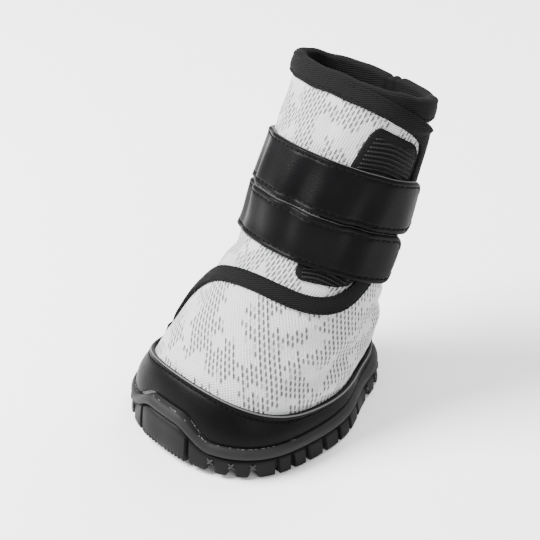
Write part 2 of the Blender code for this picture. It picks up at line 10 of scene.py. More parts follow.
import bmesh
import bpy
import numpy as np
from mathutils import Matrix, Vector


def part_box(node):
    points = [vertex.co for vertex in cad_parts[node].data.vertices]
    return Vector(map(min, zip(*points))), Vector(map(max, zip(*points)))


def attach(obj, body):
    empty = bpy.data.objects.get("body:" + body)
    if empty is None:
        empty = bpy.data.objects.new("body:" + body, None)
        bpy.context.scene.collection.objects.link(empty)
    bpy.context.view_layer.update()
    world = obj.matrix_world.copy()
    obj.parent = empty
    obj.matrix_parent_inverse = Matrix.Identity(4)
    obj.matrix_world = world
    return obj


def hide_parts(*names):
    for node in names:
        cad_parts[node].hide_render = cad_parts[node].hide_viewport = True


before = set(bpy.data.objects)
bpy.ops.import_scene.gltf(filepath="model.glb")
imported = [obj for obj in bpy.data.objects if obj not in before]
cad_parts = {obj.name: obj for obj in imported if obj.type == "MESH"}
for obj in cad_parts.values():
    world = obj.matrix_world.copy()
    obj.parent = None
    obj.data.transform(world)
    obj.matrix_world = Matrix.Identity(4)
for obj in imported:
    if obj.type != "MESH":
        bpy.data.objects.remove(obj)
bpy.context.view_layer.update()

MM = 0.001
CLEARANCE = 0.3

# Sole
SOLE_HALF_WIDTH = 41.5
SOLE_TOE_REACH = 43.0
SOLE_HEEL_REACH = 60.5
SOLE_CENTRE = 1.0
SOLE_TOE_SQUARENESS = 2.6
SOLE_HEEL_SQUARENESS = 2.0
WAIST_DIP = 0.135
WAIST_PLACE = 38.0
WAIST_SPREAD = 14.5
TREAD_HEIGHT = 7.0
RECESS_HEIGHT = 0.9
BEAD_HEIGHT = 4.2
BEAD_BULGE = 0.5
TOE_SPRING = 2.5
SPRING_START = 16.0
BUMPER_RISE = 7.0
BUMPER_HALF_TOP = 7.0
BUMPER_HALF_FOOT = 23.0
BUMPER_PROUD = 0.9
GROOVE_DEPTH = 2.2
GROOVE_WIDTH = 1.7
MEDALLION_RADIUS = 11.8

# Upper and trim
SHAFT_HEIGHT = 125.5
FOOT_LENGTH = 98.0
BALL_WIDTH = 76.8
UPPER_WALL = 1.8
GUARD_THICKNESS = 1.2
BINDING_THICKNESS = 1.2
BINDING_WIDTH = 6.8
COLLAR_BINDING_DROP = 7.0
PINCH_TURN = 176.0
PINCH_SPREAD = 2.2
PATCH_THICKNESS = 1.2
STRAP_THICKNESS = 1.8
STRAP_CORNER = 4.5
STRAP_SETTLED_TURN = -16.0
STRAP_RAISED_TURN = 24.0

SECTION_COLUMNS = "centre rise lean half_width front back toe_lift front_square back_square waist".split()
SECTIONS = {
    "feather": (0.01, 0.0606, 0, 0.5, 0.41, 0.588, 0, 2.6, 2, 0.15),
    "bead": (0.01, 0.1036, 1, 0.499, 0.402, 0.58, 0.04, 2.6, 2, 0.14),
    "guard": (0.031, 0.1514, 4, 0.48, 0.357, 0.549, 0.076, 2.45, 2, 0.11),
    "vamp": (0.122, 0.247, 8, 0.456, 0.33, 0.485, 0.044, 2.2, 2, 0.04),
    "instep": (0.245, 0.3466, 17, 0.421, 0.304, 0.372, 0.018, 2.1, 2, 0),
    "ankle": (0.372, 0.4622, 25, 0.391, 0.291, 0.27, 0, 2.1, 2, 0),
    "shank": (0.459, 0.6096, 25, 0.391, 0.311, 0.25, 0, 2.1, 2, 0),
    "calf": (0.541, 0.7689, 24, 0.391, 0.281, 0.235, 0, 2.1, 2, 0),
    "cuff": (0.587, 0.8924, 22, 0.4, 0.235, 0.219, 0, 2.1, 2, 0),
    "collar": (0.622, 1, 20, 0.414, 0.194, 0.199, 0, 2.1, 2, 0),
}
LEVEL = {name: float(number) for number, name in enumerate(SECTIONS)}
TOP_LEVEL = LEVEL["collar"]
COLUMN_SIZE = {
    "centre": FOOT_LENGTH,
    "front": FOOT_LENGTH,
    "back": FOOT_LENGTH,
    "half_width": BALL_WIDTH,
    "rise": SHAFT_HEIGHT,
    "toe_lift": SHAFT_HEIGHT,
}
TOE_LIFT_POWER = 3
TURN_STEP = 1.5
LEVEL_STEP = 0.05

# The flap's bound edge, (turn, level) from the sole on the right to the collar's front
FLAP_FOOT_TURN = -81
FLAP_TAPER_SECTIONS = 5
FLAP_TAPER_END = 0.3
FLAP_SEAM = 0.66
LAP_MARGIN = 0.17
LAP_CLIMB = 0.22
FLAP_EDGE = (
    (-80.5, 1.5), (-79, 1.95), (-77, 2.25), (-74, 2.5), (-67, 2.85), (-56, 3.4),
    (-43, 3.85), (-28, 4.13), (-10, 4.29), (8, 4.37), (26, 4.38), (44, 4.37),
    (60, 4.42), (72, 4.57), (80, 4.85), (87, 5.3), (94, 5.85), (100, 6.4),
    (106, 7), (109, 7.5), (107, 7.87), (98, 8.15), (84, 8.35), (68, 8.52),
    (50, 8.66), (32, 8.74), (16, 8.76),
)

# The patch's rows, bottom to top: left level, left turn, right turn, right level
PATCH_ROWS = (
    (4.72, 31.0, 66.0, 4.80),
    (5.00, 29.0, 74.0, 5.02),
    (6.00, 35.0, 86.0, 6.00),
    (7.00, 42.0, 96.5, 7.00),
    (7.60, 45.5, 98.0, 7.50),
    (8.12, 49.0, 93.0, 7.84),
)
PATCH_RIB_PITCH = 1.75
PATCH_RIB_HEIGHT = 1.0
PATCH_BORDER = 2.3
PATCH_TOP_BORDER = 3.8
PATCH_LOW_BORDER = 0.9

STRAP_GAP_LEVEL = 0.01
STRAPS = {
    "lower_strap": ("ankle", "shank", -172.0, 106.0),
    "upper_strap": ("shank", "calf", -172.0, 113.0),
}
STITCH_INSET = 2.3
STITCH_PITCH = 2.9
STITCH_LENGTH = 2.0
THREAD_RADIUS = 0.28
THREAD_SIDES = 6
THREAD_RINGS = ((-0.5, 0.35), (-0.36, 1.0), (0.36, 1.0), (0.5, 0.35))
WALL_MARK_HEIGHT = 5.0
LOBE_RISE = 3.2
LOBE_SPREAD = 1.55

# Creases of the cloth: from (turn, level) to (turn, level), half width and depth in mm
CREASES = (
    (-44, 7.35, -58, 8.35, 3, -0.8),
    (-20, 7.45, -26, 8.3, 3.5, -0.5),
    (12, 7.45, 20, 8.2, 4, -0.4),
    (-66, 4.7, -18, 4.72, 2.6, -0.7),
    (-52, 2.75, -30, 3.55, 4.5, -0.6),
    (-10, 2.55, 18, 3, 5, -0.5),
    (34, 3.3, 78, 3.75, 4, -0.7),
    (70, 2.7, 112, 3.5, 4.5, -0.9),
    (104, 4, 150, 4.55, 3.2, -1.1),
    (112, 5.2, 165, 5, 3.2, -0.9),
    (-150, 4.7, -108, 4.05, 3.2, -1.1),
    (150, 3.75, 212, 3.8, 4, -1),
    (128, 6.3, 172, 6.1, 3.5, -0.7),
    (136, 7.6, 170, 7.3, 3.5, -0.6),
    (-160, 7.6, -120, 7.75, 3.5, -0.6),
    (-36, 5.1, -40, 6.9, 5, -0.95),
    (12, 5.05, 18, 6.9, 5.5, -1.05),
    (58, 5.15, 64, 6.85, 4.5, -0.9),
)
CREASE_GAIN = 1.7
CREASE_END = 0.35
SHOULDER_RISE = 0.35
SHOULDER_PLACE = 1.6
WOBBLE = 0.28
TURN_RUN = 0.62
LEVEL_RUN = 13.0
PUFF = 0.9
PUFF_RUN = 4.0

# Tread grooves as (x, forward), shares of the sole's half width and of its toe reach
OVAL_SIDE = (
    (0.405, 0.430),
    (0.494, 0.279),
    (0.537, 0.128),
    (0.528, -0.047),
    (0.499, -0.209),
    (0.451, -0.372),
    (0.330, -0.526),
)
OVAL_FRONT_MIDDLE = 0.342
OVAL_BACK_MIDDLE = -0.409
TOE_BLOCK_SIDE = ((0.280, 0.430), (0.284, 0.720), (0.350, 1.060))
HEEL_BLOCK_SIDE = ((0.318, -0.600), (0.241, -0.814), (0.300, -1.279), (0.310, -1.500))
BLOCK_SPLITS = (
    ((0.460, 0.432), (1.060, 0.442)),
    ((0.590, 0.105), (1.100, 0.130)),
    ((0.555, -0.245), (1.100, -0.291)),
    ((0.400, -0.558), (1.000, -0.700)),
)
BLOCK_SLOTS = (
    ((0.72, 0.285), (1.10, 0.290)),
    ((0.74, -0.070), (1.10, -0.080)),
    ((0.70, -0.420), (1.08, -0.490)),
)
TOE_RIBS = (0.45, 0.54, 0.63, 0.72, 0.81, 0.90)
HEEL_RIBS = (-0.72, -0.82, -0.92, -1.02, -1.12, -1.22)
TOE_RIB_HALF = 9.8
HEEL_RIB_HALF = 7.6
RIB_WIDTH = 1.3
LOBE_TURNS = (28, 41, 54, 130, 141, 152)

# Camera in the boot's frame
CAMERA_PLACE = (373.5, -322.4, 367.0)
CAMERA_TARGET = (-1.5, 14.0, 58.0)
CAMERA_LENS = 102.0

CAMERA_SENSOR = 36.0

# Lights: name, place in metres, size and watts
LIGHTS = (
    ("key", (-0.55, -0.62, 0.95), 0.7, 62.0),
    ("right", (0.9, -0.25, 0.5), 0.4, 3.0),
    ("back", (-0.1, 0.8, 0.9), 0.6, 14.0),
)
LIGHT_AIM = (0.0, 0.0, 0.06)
FLOOR_DROP = -0.0002
FLOOR_REACH = 6.0

# Slits of the knit: pitches in mm, half sizes as shares of the pitch
SLIT_COLUMN_PITCH = 1.5
SLIT_ROW_PITCH = 2.9
SLIT_HALF_WIDTH = 0.26
SLIT_HALF_LENGTH = 0.45
UV_UNIT = 0.01


def hermite(values, place):
    """Smooth curve through evenly spaced values, read at place."""
    values = np.asarray(values, float)
    last = len(values) - 1
    place = np.clip(np.asarray(place, float), 0.0, last)
    i = np.minimum(place.astype(int), last - 1)
    f = place - i
    before = values[np.maximum(i - 1, 0)]
    here = values[i]
    after = values[i + 1]
    beyond = values[np.minimum(i + 2, last)]
    slope_in = (after - before) / np.where(i > 0, 2.0, 1.0)
    slope_out = (beyond - here) / np.where(i < last - 1, 2.0, 1.0)
    blend = f * f * (3 - 2 * f)
    return here + (after - here) * blend + f * (1 - f) * ((1 - f) * slope_in - f * slope_out)


def ramp(value):
    """Soft step from 0 to 1."""
    value = np.clip(value, 0.0, 1.0)
    return value * value * (3 - 2 * value)


def bell(gap, width):
    """Soft bump, 1 in its middle and all but gone at twice its width."""
    return np.exp(-((gap / width) ** 2))


def section(column, level):
    number = SECTION_COLUMNS.index(column)
    return hermite([row[number] for row in SECTIONS.values()], level) * COLUMN_SIZE.get(column, 1.0)


def power(value, exponent):
    return np.sign(value) * np.abs(value) ** exponent


def waist_factor(share, y):
    return 1 - share * bell(y - WAIST_PLACE, WAIST_SPREAD)


def skin(turn, level):
    """Points on the upper's plain outer skin."""
    turn, level = np.broadcast_arrays(np.asarray(turn, float), np.asarray(level, float))
    angle = np.radians(turn)
    ahead = np.cos(angle) > 0
    exponent = 2 / np.where(ahead, section("front_square", level), section("back_square", level))
    reach = np.where(ahead, section("front", level), section("back", level))
    forward = reach * power(np.cos(angle), exponent)
    lean = np.radians(section("lean", level))
    y = section("centre", level) - forward * np.cos(lean)
    z = section("rise", level) + forward * np.sin(lean)
    z = z + np.where(ahead, section("toe_lift", level) * (forward / reach) ** TOE_LIFT_POWER, 0.0)
    x = section("half_width", level) * power(np.sin(angle), exponent)
    return np.stack((x * waist_factor(section("waist", level), y), y, z), axis=-1)


def unit(vectors):
    return vectors / np.maximum(np.linalg.norm(vectors, axis=-1, keepdims=True), 1e-9)


def skin_slopes(turn, level):
    """How the skin moves for one degree of turn and for one level."""
    level = np.asarray(level, float)
    below = np.maximum(level - LEVEL_STEP, 0.0)
    above = np.minimum(level + LEVEL_STEP, TOP_LEVEL)
    round_slope = (skin(turn + TURN_STEP, level) - skin(turn - TURN_STEP, level)) / (2 * TURN_STEP)
    up_slope = (skin(turn, above) - skin(turn, below)) / (above - below)[..., None]
    return round_slope, up_slope


def skin_gauge(turn, level, way):
    """Length of skin for one degree of turn (way 0) or for one level (way 1)."""
    return np.linalg.norm(skin_slopes(turn, level)[way], axis=-1)


def guard_top_level(turn):
    aside = np.sin(np.radians(turn)) ** 2
    behind = np.maximum(-np.cos(np.radians(turn)), 0.0) ** 2
    return LEVEL["guard"] + 0.1 * aside + 0.45 * behind


def relief(turn, level):
    """How far creases and soft puffs move the cloth out, shared by every layer on it."""
    turn, level = np.broadcast_arrays(np.asarray(turn, float), np.asarray(level, float))
    around = (turn + 180.0) % 360.0 - 180.0
    total = np.zeros(turn.shape)
    for turn_a, level_a, turn_b, level_b, width, depth in CREASES:
        for wrap in (0.0, 360.0):
            along = np.array([(turn_b - turn_a) * TURN_RUN, (level_b - level_a) * LEVEL_RUN])
            du = (around + wrap - turn_a) * TURN_RUN
            dv = (level - level_a) * LEVEL_RUN
            share = np.clip((du * along[0] + dv * along[1]) / (along @ along), 0.0, 1.0)
            gap = np.hypot(du - share * along[0], dv - share * along[1])
            fade = CREASE_END + (1 - CREASE_END) * np.sin(np.pi * np.clip(share, 0.02, 0.98))
            shoulder = SHOULDER_RISE * bell(gap - SHOULDER_PLACE * width, width)
            total += CREASE_GAIN * depth * fade * (bell(gap, width) - shoulder)
    wobble = np.sin(np.radians(around * 3 + 40) + level * 1.3) * np.sin(level * 2.1 + 0.6)
    wobble += 0.6 * np.sin(np.radians(around * 5 - 25) - level * 2.4)
    over_guard = (level - guard_top_level(around)) * LEVEL_RUN
    puff = PUFF * (1 - bell(np.maximum(over_guard, 0), PUFF_RUN))
    puff *= 1 - ramp((level - 3.6) / 1.2)
    low_fade = ramp((level - 1.9) / 0.6)
    high_fade = 1 - 0.75 * ramp((level - 8.3) / 0.5)
    return (total + WOBBLE * wobble) * low_fade * high_fade + puff


def lifted(turn, level, lift, beyond=0.0, creased=True):
    """Points lift off the creased skin, and beyond past the section along the shaft."""
    round_slope, up_slope = skin_slopes(turn, level)
    out = unit(np.cross(round_slope, up_slope))
    lift = np.asarray(lift, float)
    if creased:
        lift = lift + relief(turn, level)
    return skin(turn, level) + out * lift[..., None] + unit(up_slope) * np.asarray(beyond)[..., None]


def sole_edge(turn, out=0.0):
    """The sole's outline in plan, moved out square to itself."""

    def outline(angle):
        ahead = np.cos(angle) > 0
        exponent = 2 / np.where(ahead, SOLE_TOE_SQUARENESS, SOLE_HEEL_SQUARENESS)
        reach = np.where(ahead, SOLE_TOE_REACH, SOLE_HEEL_REACH)
        y = SOLE_CENTRE - reach * power(np.cos(angle), exponent)
        x = SOLE_HALF_WIDTH * power(np.sin(angle), exponent)
        return np.stack((x * waist_factor(WAIST_DIP, y), y, np.zeros_like(y)), axis=-1)

    angle = np.radians(np.asarray(turn, float))
    step = math.radians(TURN_STEP)
    along = unit(outline(angle + step) - outline(angle - step))
    side = np.stack((along[..., 1], -along[..., 0], np.zeros_like(angle)), axis=-1)
    return outline(angle) + side * np.asarray(out, float)[..., None]


def toe_spring(y):
    return TOE_SPRING * np.maximum((-y - SPRING_START) / (SOLE_TOE_REACH - SPRING_START), 0.0) ** 2


def bumper(x, y):
    share = ramp((BUMPER_HALF_FOOT - np.abs(x)) / (BUMPER_HALF_FOOT - BUMPER_HALF_TOP))
    return np.where(y > 0, 0.0, share)


SEAT_HEIGHT = SECTIONS["feather"][1] * SHAFT_HEIGHT - CLEARANCE
RIM_HEIGHT = TREAD_HEIGHT + RECESS_HEIGHT + BEAD_HEIGHT


def rim_top(turn):
    edge = sole_edge(turn)
    return RIM_HEIGHT + toe_spring(edge[..., 1]) + BUMPER_RISE * bumper(edge[..., 0], edge[..., 1])


def clear_of_rim(turn, spread=2.5):
    turn = np.asarray(turn, float)
    heights = [rim_top(turn + aside) for aside in (-spread, 0.0, spread)]
    return np.max(heights, axis=0) + CLEARANCE


def level_at_height(turn, height, lift=0.0):
    turn = np.asarray(turn, float)
    low = np.zeros_like(turn)
    high = np.full_like(turn, LEVEL["vamp"])
    for _ in range(24):
        middle = (low + high) / 2
        under = lifted(turn, middle, lift, creased=False)[..., 2] < height
        low = np.where(under, middle, low)
        high = np.where(under, high, middle)
    return (low + high) / 2


def frame_shift():
    """How far the model's frame lies from the boot's own frame along Y."""
    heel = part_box("outsole")[1][1] / MM
    return heel - (SOLE_CENTRE + SOLE_HEEL_REACH + BEAD_BULGE)


SHIFT = np.array((0.0, frame_shift(), 0.0))


def to_metres(points):
    return (np.asarray(points, float) + SHIFT) * MM


def add_object(name, data):
    made = bpy.data.objects.new(name, data)
    bpy.context.scene.collection.objects.link(made)
    return made


def finish_object(name, mesh, finishes, sharp=50.0):
    made = add_object(name, mesh)
    work = bmesh.new()
    work.from_mesh(mesh)
    bmesh.ops.recalc_face_normals(work, faces=work.faces)
    work.to_mesh(mesh)
    work.free()
    for finish in finishes:
        mesh.materials.append(finish)
    mesh.shade_smooth()
    mesh.set_sharp_from_angle(angle=math.radians(sharp))
    return made


def surface(name, points, uv, finishes, ring=True, index=0, caps=False):
    """A mesh from closed rows of points: the last column repeats the first, and so does the
    last row where ring is set. uv has the same shape, in mm. index says which finish the
    faces have, by row, by column or one by one."""
    rows = points.shape[0] - 1
    columns = points.shape[1] - 1
    kept_rows = rows if ring else rows + 1
    corners = to_metres(points[:kept_rows, :columns]).reshape(-1, 3)
    i, j = np.meshgrid(np.arange(rows), np.arange(columns), indexing="ij")
    i2, j2 = (i + 1) % kept_rows, (j + 1) % columns
    quads = np.stack((i * columns + j, i * columns + j2, i2 * columns + j2, i2 * columns + j), axis=-1)
    faces = quads.reshape(-1, 4).tolist()
    coordinates = np.stack((uv[i, j], uv[i, j + 1], uv[i + 1, j + 1], uv[i + 1, j]), axis=2).reshape(-1, 2)
    if caps:
        for row in (0, rows):
            faces.append([row * columns + k for k in range(columns)])
            coordinates = np.concatenate((coordinates, uv[row, :columns]))
    mesh = bpy.data.meshes.new(name)
    mesh.from_pydata(corners.tolist(), [], faces)
    layer = mesh.uv_layers.new(name="UVMap")
    layer.data.foreach_set("uv", (coordinates * UV_UNIT).ravel())
    index = np.broadcast_to(index, (rows, columns)).ravel().tolist()
    mesh.polygons.foreach_set("material_index", index + [0] * (2 if caps else 0))
    return finish_object(name, mesh, finishes)


def run_lengths(points, axis):
    """Length run along an axis of a grid of points, from 0."""
    steps = np.linalg.norm(np.diff(points, axis=axis), axis=-1)
    start = np.zeros_like(np.take(steps, [0], axis=axis))
    return np.concatenate((start, np.cumsum(steps, axis=axis)), axis=axis)


def band_uv(grid, axis):
    """Metric coordinates of a band that runs along an axis of its grid, and across it."""
    along = np.take(run_lengths(grid, axis), [0], axis=1 - axis)
    return np.stack((along + 0 * grid[..., 0], run_lengths(grid, 1 - axis)), axis=-1)


def skin_uv(turns, levels):
    """Metric coordinates of the cloth: round from the front's middle, and up from the sole."""
    around = run_lengths(skin(turns, levels), 1)
    front = np.argmin(np.abs(turns[0]))
    around -= around[:, [front]]
    gauges = np.array((-100.0, -60.0, -25.0, 25.0, 60.0, 100.0))
    gauge_turns, gauge_levels = np.meshgrid(gauges, levels[:, 0])
    up = run_lengths(skin(gauge_turns, gauge_levels), 0).mean(axis=1)
    return np.stack((around, np.broadcast_to(up[:, None], around.shape)), axis=-1)


class Finish:
    """A material and a short way to add its nodes."""

    def __init__(self, name, colour, roughness, gloss=0.5):
        self.material = bpy.data.materials.new(name)
        self.material.use_nodes = True
        self.tree = self.material.node_tree
        self.shader = self.tree.nodes["Principled BSDF"]
        self.set("Base Color", (*colour, 1.0))
        self.set("Roughness", roughness)
        self.set("Specular IOR Level", gloss)

    def set(self, socket, value):
        self.plug(self.shader.inputs[socket], value)

    def plug(self, socket, value):
        if isinstance(value, bpy.types.NodeSocket):
            self.tree.links.new(value, socket)
        else:
            socket.default_value = value

    def add(self, kind, **inputs):
        node = self.tree.nodes.new("ShaderNode" + kind)
        for socket, value in inputs.items():
            self.plug(node.inputs[socket.replace("_", " ")], value)
        return node

    def math(self, operation, first, second=0.0, third=0.0):
        node = self.add("Math")
        node.operation = operation
        for socket, value in zip(node.inputs, (first, second, third)):
            self.plug(socket, value)
        return node.outputs[0]

    def spread(self, value, low, high, to_low=0.0, to_high=1.0):
        ends = {"From_Min": low, "From_Max": high, "To_Min": to_low, "To_Max": to_high}
        return self.add("MapRange", Value=value, **ends).outputs["Result"]

    def flat_place(self):
        """The cloth's own coordinates, in mm."""
        parts = self.add("SeparateXYZ", Vector=self.add("TexCoord").outputs["UV"])
        return [self.math("DIVIDE", parts.outputs[k], UV_UNIT) for k in (0, 1)]

    def solid_place(self):
        return self.add("TexCoord").outputs["Object"]

    def noise(self, place, scale, detail=2.0):
        return self.add("TexNoise", Vector=place, Scale=scale, Detail=detail).outputs["Fac"]

    def colour(self, share, first, second):
        node = self.add("Mix")
        node.data_type = "RGBA"
        self.plug(node.inputs["Factor"], share)
        node.inputs[6].default_value = (*first, 1.0)
        node.inputs[7].default_value = (*second, 1.0)
        self.set("Base Color", node.outputs[2])

    def bump(self, height, distance, strength=1.0):
        node = self.add("Bump", Height=height, Strength=strength, Distance=distance * MM)
        self.set("Normal", node.outputs["Normal"])


def grey(value):
    return (value,) * 3


def wave(finish, value, pitch):
    return finish.math("SINE", finish.math("MULTIPLY", value, 2 * math.pi / pitch))


def knit_finish(name, light, dark, slit_share, slant=0.0):
    """Sport knit: fine wales, and patches of staggered slits between plain areas, with painted shade in
    the sunk slits and in the troughs of the wales.
    """
    finish = Finish(name, light, 0.85)
    finish.set("Sheen Weight", 0.1)
    finish.set("Sheen Roughness", 0.5)
    calc = finish.math
    across_flat, along_flat = finish.flat_place()
    lean, upright = math.sin(math.radians(slant)), math.cos(math.radians(slant))
    across = calc("ADD", calc("MULTIPLY", across_flat, upright), calc("MULTIPLY", along_flat, lean))
    along = calc("SUBTRACT", calc("MULTIPLY", along_flat, upright), calc("MULTIPLY", across_flat, lean))
    column_place = calc("DIVIDE", across, SLIT_COLUMN_PITCH)
    column = calc("FLOOR", column_place)
    stagger = calc("FRACT", calc("MULTIPLY", column, 0.5))
    row_place = calc("ADD", calc("DIVIDE", along, SLIT_ROW_PITCH), stagger)
    row = calc("FLOOR", row_place)
    reaches = []
    for place, half in ((column_place, SLIT_HALF_WIDTH), (row_place, SLIT_HALF_LENGTH)):
        aside = calc("SUBTRACT", calc("FRACT", place), 0.5)
        reaches.append(calc("POWER", calc("ABSOLUTE", calc("DIVIDE", aside, half)), 2.0))
    slit = finish.spread(calc("ADD", *reaches), 1.25, 0.35)
    cell_x = calc("MULTIPLY", column, SLIT_COLUMN_PITCH)
    cell_y = calc("MULTIPLY", row, SLIT_ROW_PITCH * 1.15)
    cell = finish.add("CombineXYZ", X=cell_x, Y=cell_y)
    patches = finish.noise(cell.outputs[0], 0.082, 2.2)
    patch = finish.spread(patches, 0.515 - slit_share, 0.545 - slit_share)
    # Sunk slits: the bump sinks them, and their darker colour below is painted shade.
    sunk_slit = calc("MULTIPLY", slit, patch)
    broad = finish.noise(finish.solid_place(), 60.0, 2.0)
    tone = calc("MULTIPLY", calc("SUBTRACT", broad, 0.5), 0.10)
    wales = finish.spread(wave(finish, across, SLIT_COLUMN_PITCH / 1.5), -1.0, 1.0)
    courses = finish.spread(wave(finish, along, SLIT_ROW_PITCH / 3.0), -1.0, 1.0)
    fine = calc("MULTIPLY", wales, courses)
    # Painted shade: darker in the sunk slits and in the troughs of the fine wales, on top of a random
    # tone.
    shade = calc("ADD", calc("MULTIPLY", sunk_slit, 0.75), tone)
    shade = calc("ADD", shade, calc("MULTIPLY", calc("SUBTRACT", 1.0, fine), 0.2))
    finish.colour(calc("MAXIMUM", shade, 0.0), light, dark)
    finish.bump(calc("SUBTRACT", calc("MULTIPLY", fine, 0.4), sunk_slit), 0.75)
    return finish.material


def twill_finish(name):
    """Black woven tape with a shallow diagonal; its colour follows the weave's height, a painted highlight
    on the ridges and painted shade in the grooves.
    """
    finish = Finish(name, grey(0.008), 0.85, gloss=0.08)
    along, across = finish.flat_place()
    slant = finish.math("SUBTRACT", across, finish.math("MULTIPLY", along, 0.42))
    line = wave(finish, slant, 0.8)
    thread = wave(finish, along, 0.5)
    height = finish.math("ADD", line, finish.math("MULTIPLY", thread, 0.25))
    # Painted highlight and shade: the weave's ridges coloured lighter, its grooves darker.
    share = finish.spread(height, -1.1, 1.2)
    finish.colour(share, grey(0.0015), (0.0105, 0.0105, 0.011))
    finish.bump(height, 0.08)
    return finish.material


def leather_finish(name):
    """Black coated leather: fine grain, soft gloss, slightly worn."""
    finish = Finish(name, (0.008, 0.008, 0.0085), 0.42, gloss=0.05)
    place = finish.solid_place()
    grain = finish.add("TexVoronoi", Vector=place, Scale=1250.0)
    pores = finish.noise(place, 900.0, 3.0)
    broad = finish.noise(place, 55.0, 3.0)
    height = finish.math("ADD", grain.outputs["Distance"], finish.math("MULTIPLY", pores, 0.6))
    finish.bump(height, 0.07, 0.6)
    finish.colour(broad, (0.0012, 0.0012, 0.0014), (0.0042, 0.0042, 0.0046))
    finish.set("Roughness", finish.spread(broad, 0.3, 0.7, 0.34, 0.5))
    return finish.material


def rubber_finish(name, light):
    """Matte moulded rubber with a fine skin and traces of dust."""
    finish = Finish(name, grey(light), 0.6, gloss=0.1)
    place = finish.solid_place()
    broad = finish.noise(place, 80.0, 4.0)
    finish.bump(finish.noise(place, 1400.0), 0.05, 0.6)
    finish.colour(broad, grey(light * 0.7), grey(light * 1.5))
    finish.set("Roughness", finish.spread(broad, 0.3, 0.7, 0.46, 0.68))
    return finish.material


def hook_finish(name):
    """Black ribbed fastening tape: rows of small hooks, with a painted highlight along the rib tops,
    dotted by the hook rows.
    """
    finish = Finish(name, grey(0.008), 0.6, gloss=0.12)
    along, across = finish.flat_place()
    # Painted highlight: the rib tops coloured lighter, dotted along the hook rows.
    ribs = finish.spread(wave(finish, across, PATCH_RIB_PITCH), -0.2, 1.0)
    hooks = finish.spread(wave(finish, along, 0.9), -1.0, 1.0, 0.45, 1.0)
    share = finish.math("MULTIPLY", ribs, hooks)
    finish.colour(share, grey(0.001), (0.024, 0.024, 0.0245))
    finish.bump(share, 0.25, 0.8)
    return finish.material


def plain_finish(name, colour, roughness, grain=0.04, gloss=0.5):
    finish = Finish(name, colour, roughness, gloss)
    finish.bump(finish.noise(finish.solid_place(), 1500.0), grain, 0.5)
    return finish.material


# The knit's colour, and the dark used for painted shade in its slits and troughs.
KNIT_AND_SLIT_SHADE_COLOURS = ((0.58, 0.583, 0.588), (0.045, 0.046, 0.047))
KNIT = knit_finish("sport_knit", *KNIT_AND_SLIT_SHADE_COLOURS, 0.055, slant=36.0)
FLAP_KNIT = knit_finish("flap_knit", *KNIT_AND_SLIT_SHADE_COLOURS, 0.06, slant=-7.0)
LINING = knit_finish("mesh_lining", (0.36, 0.365, 0.37), grey(0.08), 0.2)
TWILL = twill_finish("twill_tape")
LEATHER = leather_finish("coated_leather")
RUBBER = rubber_finish("moulded_rubber", 0.0048)
# Lighter copy of the moulded rubber for the bead: a painted highlight.
BEAD_HIGHLIGHT_RUBBER = rubber_finish("bead_rubber_painted_highlight", 0.013)
# Lighter rubber for the side wall's crosses: a painted highlight on their edges.
MARK_HIGHLIGHT_RUBBER = rubber_finish("wall_mark_painted_highlight", 0.03)
HOOKS = hook_finish("hook_rows_painted_rib_highlight")
# Pale edge strip: partly the leather's cut edge, partly a painted highlight along upward-facing edges.
CUT_EDGE_AND_HIGHLIGHT = plain_finish("cut_edge_and_painted_highlight", (0.065, 0.065, 0.066), 0.6)
THREAD = plain_finish("black_thread", grey(0.0028), 0.85, gloss=0.1)
GLUE = plain_finish("glue_specks", grey(0.10), 0.4)
PALE_THREAD = plain_finish("pale_thread", (0.42, 0.42, 0.425), 0.9)


def place_piece(piece, slot, *nodes):
    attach(piece, "root")
    if nodes:
        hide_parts(*nodes)


def closed_turns(count):
    return np.linspace(-180.0, 180.0, count + 1)


def build_upper():
    columns, outer_rows, inner_rows = 256, 216, 48
    turns = closed_turns(columns)
    outer_levels = np.linspace(0.0, TOP_LEVEL, outer_rows)
    inner_levels = np.linspace(TOP_LEVEL, 0.0, inner_rows)
    outer_turns, outer = np.meshgrid(turns, outer_levels)
    inner_turns, inner = np.meshgrid(turns, inner_levels)
    outside = lifted(outer_turns, outer, 0.0)
    inside = lifted(inner_turns, inner, -UPPER_WALL)
    inside[-1, :, 2] = section("rise", 0.0)
    points = np.concatenate((outside, inside, outside[:1]))
    outer_uv = skin_uv(outer_turns, outer)
    inner_uv = skin_uv(inner_turns[::-1], inner[::-1])[::-1]
    uv = np.concatenate((outer_uv, inner_uv, outer_uv[:1]))
    rows = np.array([0] * outer_rows + [1] * inner_rows)
    face_turns = (turns[:-1] + turns[1:]) / 2
    edge_turns, edge_levels = zip(*FLAP_EDGE[: 1 + np.argmax([turn for turn, _ in FLAP_EDGE])])
    flap_low = np.interp(face_turns, edge_turns, edge_levels, left=0.0, right=TOP_LEVEL + 1)
    face_levels = np.concatenate((outer_levels, inner_levels))
    faces = np.repeat(rows[:, None], columns, axis=1)
    faces[(faces == 0) & (face_levels[:, None] > flap_low[None])] = 2
    piece = surface("knit_upper", points, uv, [KNIT, LINING, FLAP_KNIT], index=faces)
    place_piece(piece, "knit", "upper")


def segment_gap(x, f, route):
    """Distance of places to a route of (x, forward) points."""
    best = np.full(x.shape, 1e9)
    for (xa, fa), (xb, fb) in zip(route, route[1:]):
        run = np.array((xb - xa, fb - fa))
        share = np.clip(((x - xa) * run[0] + (f - fa) * run[1]) / max(run @ run, 1e-9), 0, 1)
        best = np.minimum(best, np.hypot(x - xa - share * run[0], f - fa - share * run[1]))
    return best


def ellipse_gap(x, f, middle, radii):
    """About how far places lie from an ellipse's line, inside negative."""
    reach = np.hypot((x - middle[0]) / radii[0], (f - middle[1]) / radii[1])
    return (reach - 1) * min(radii)


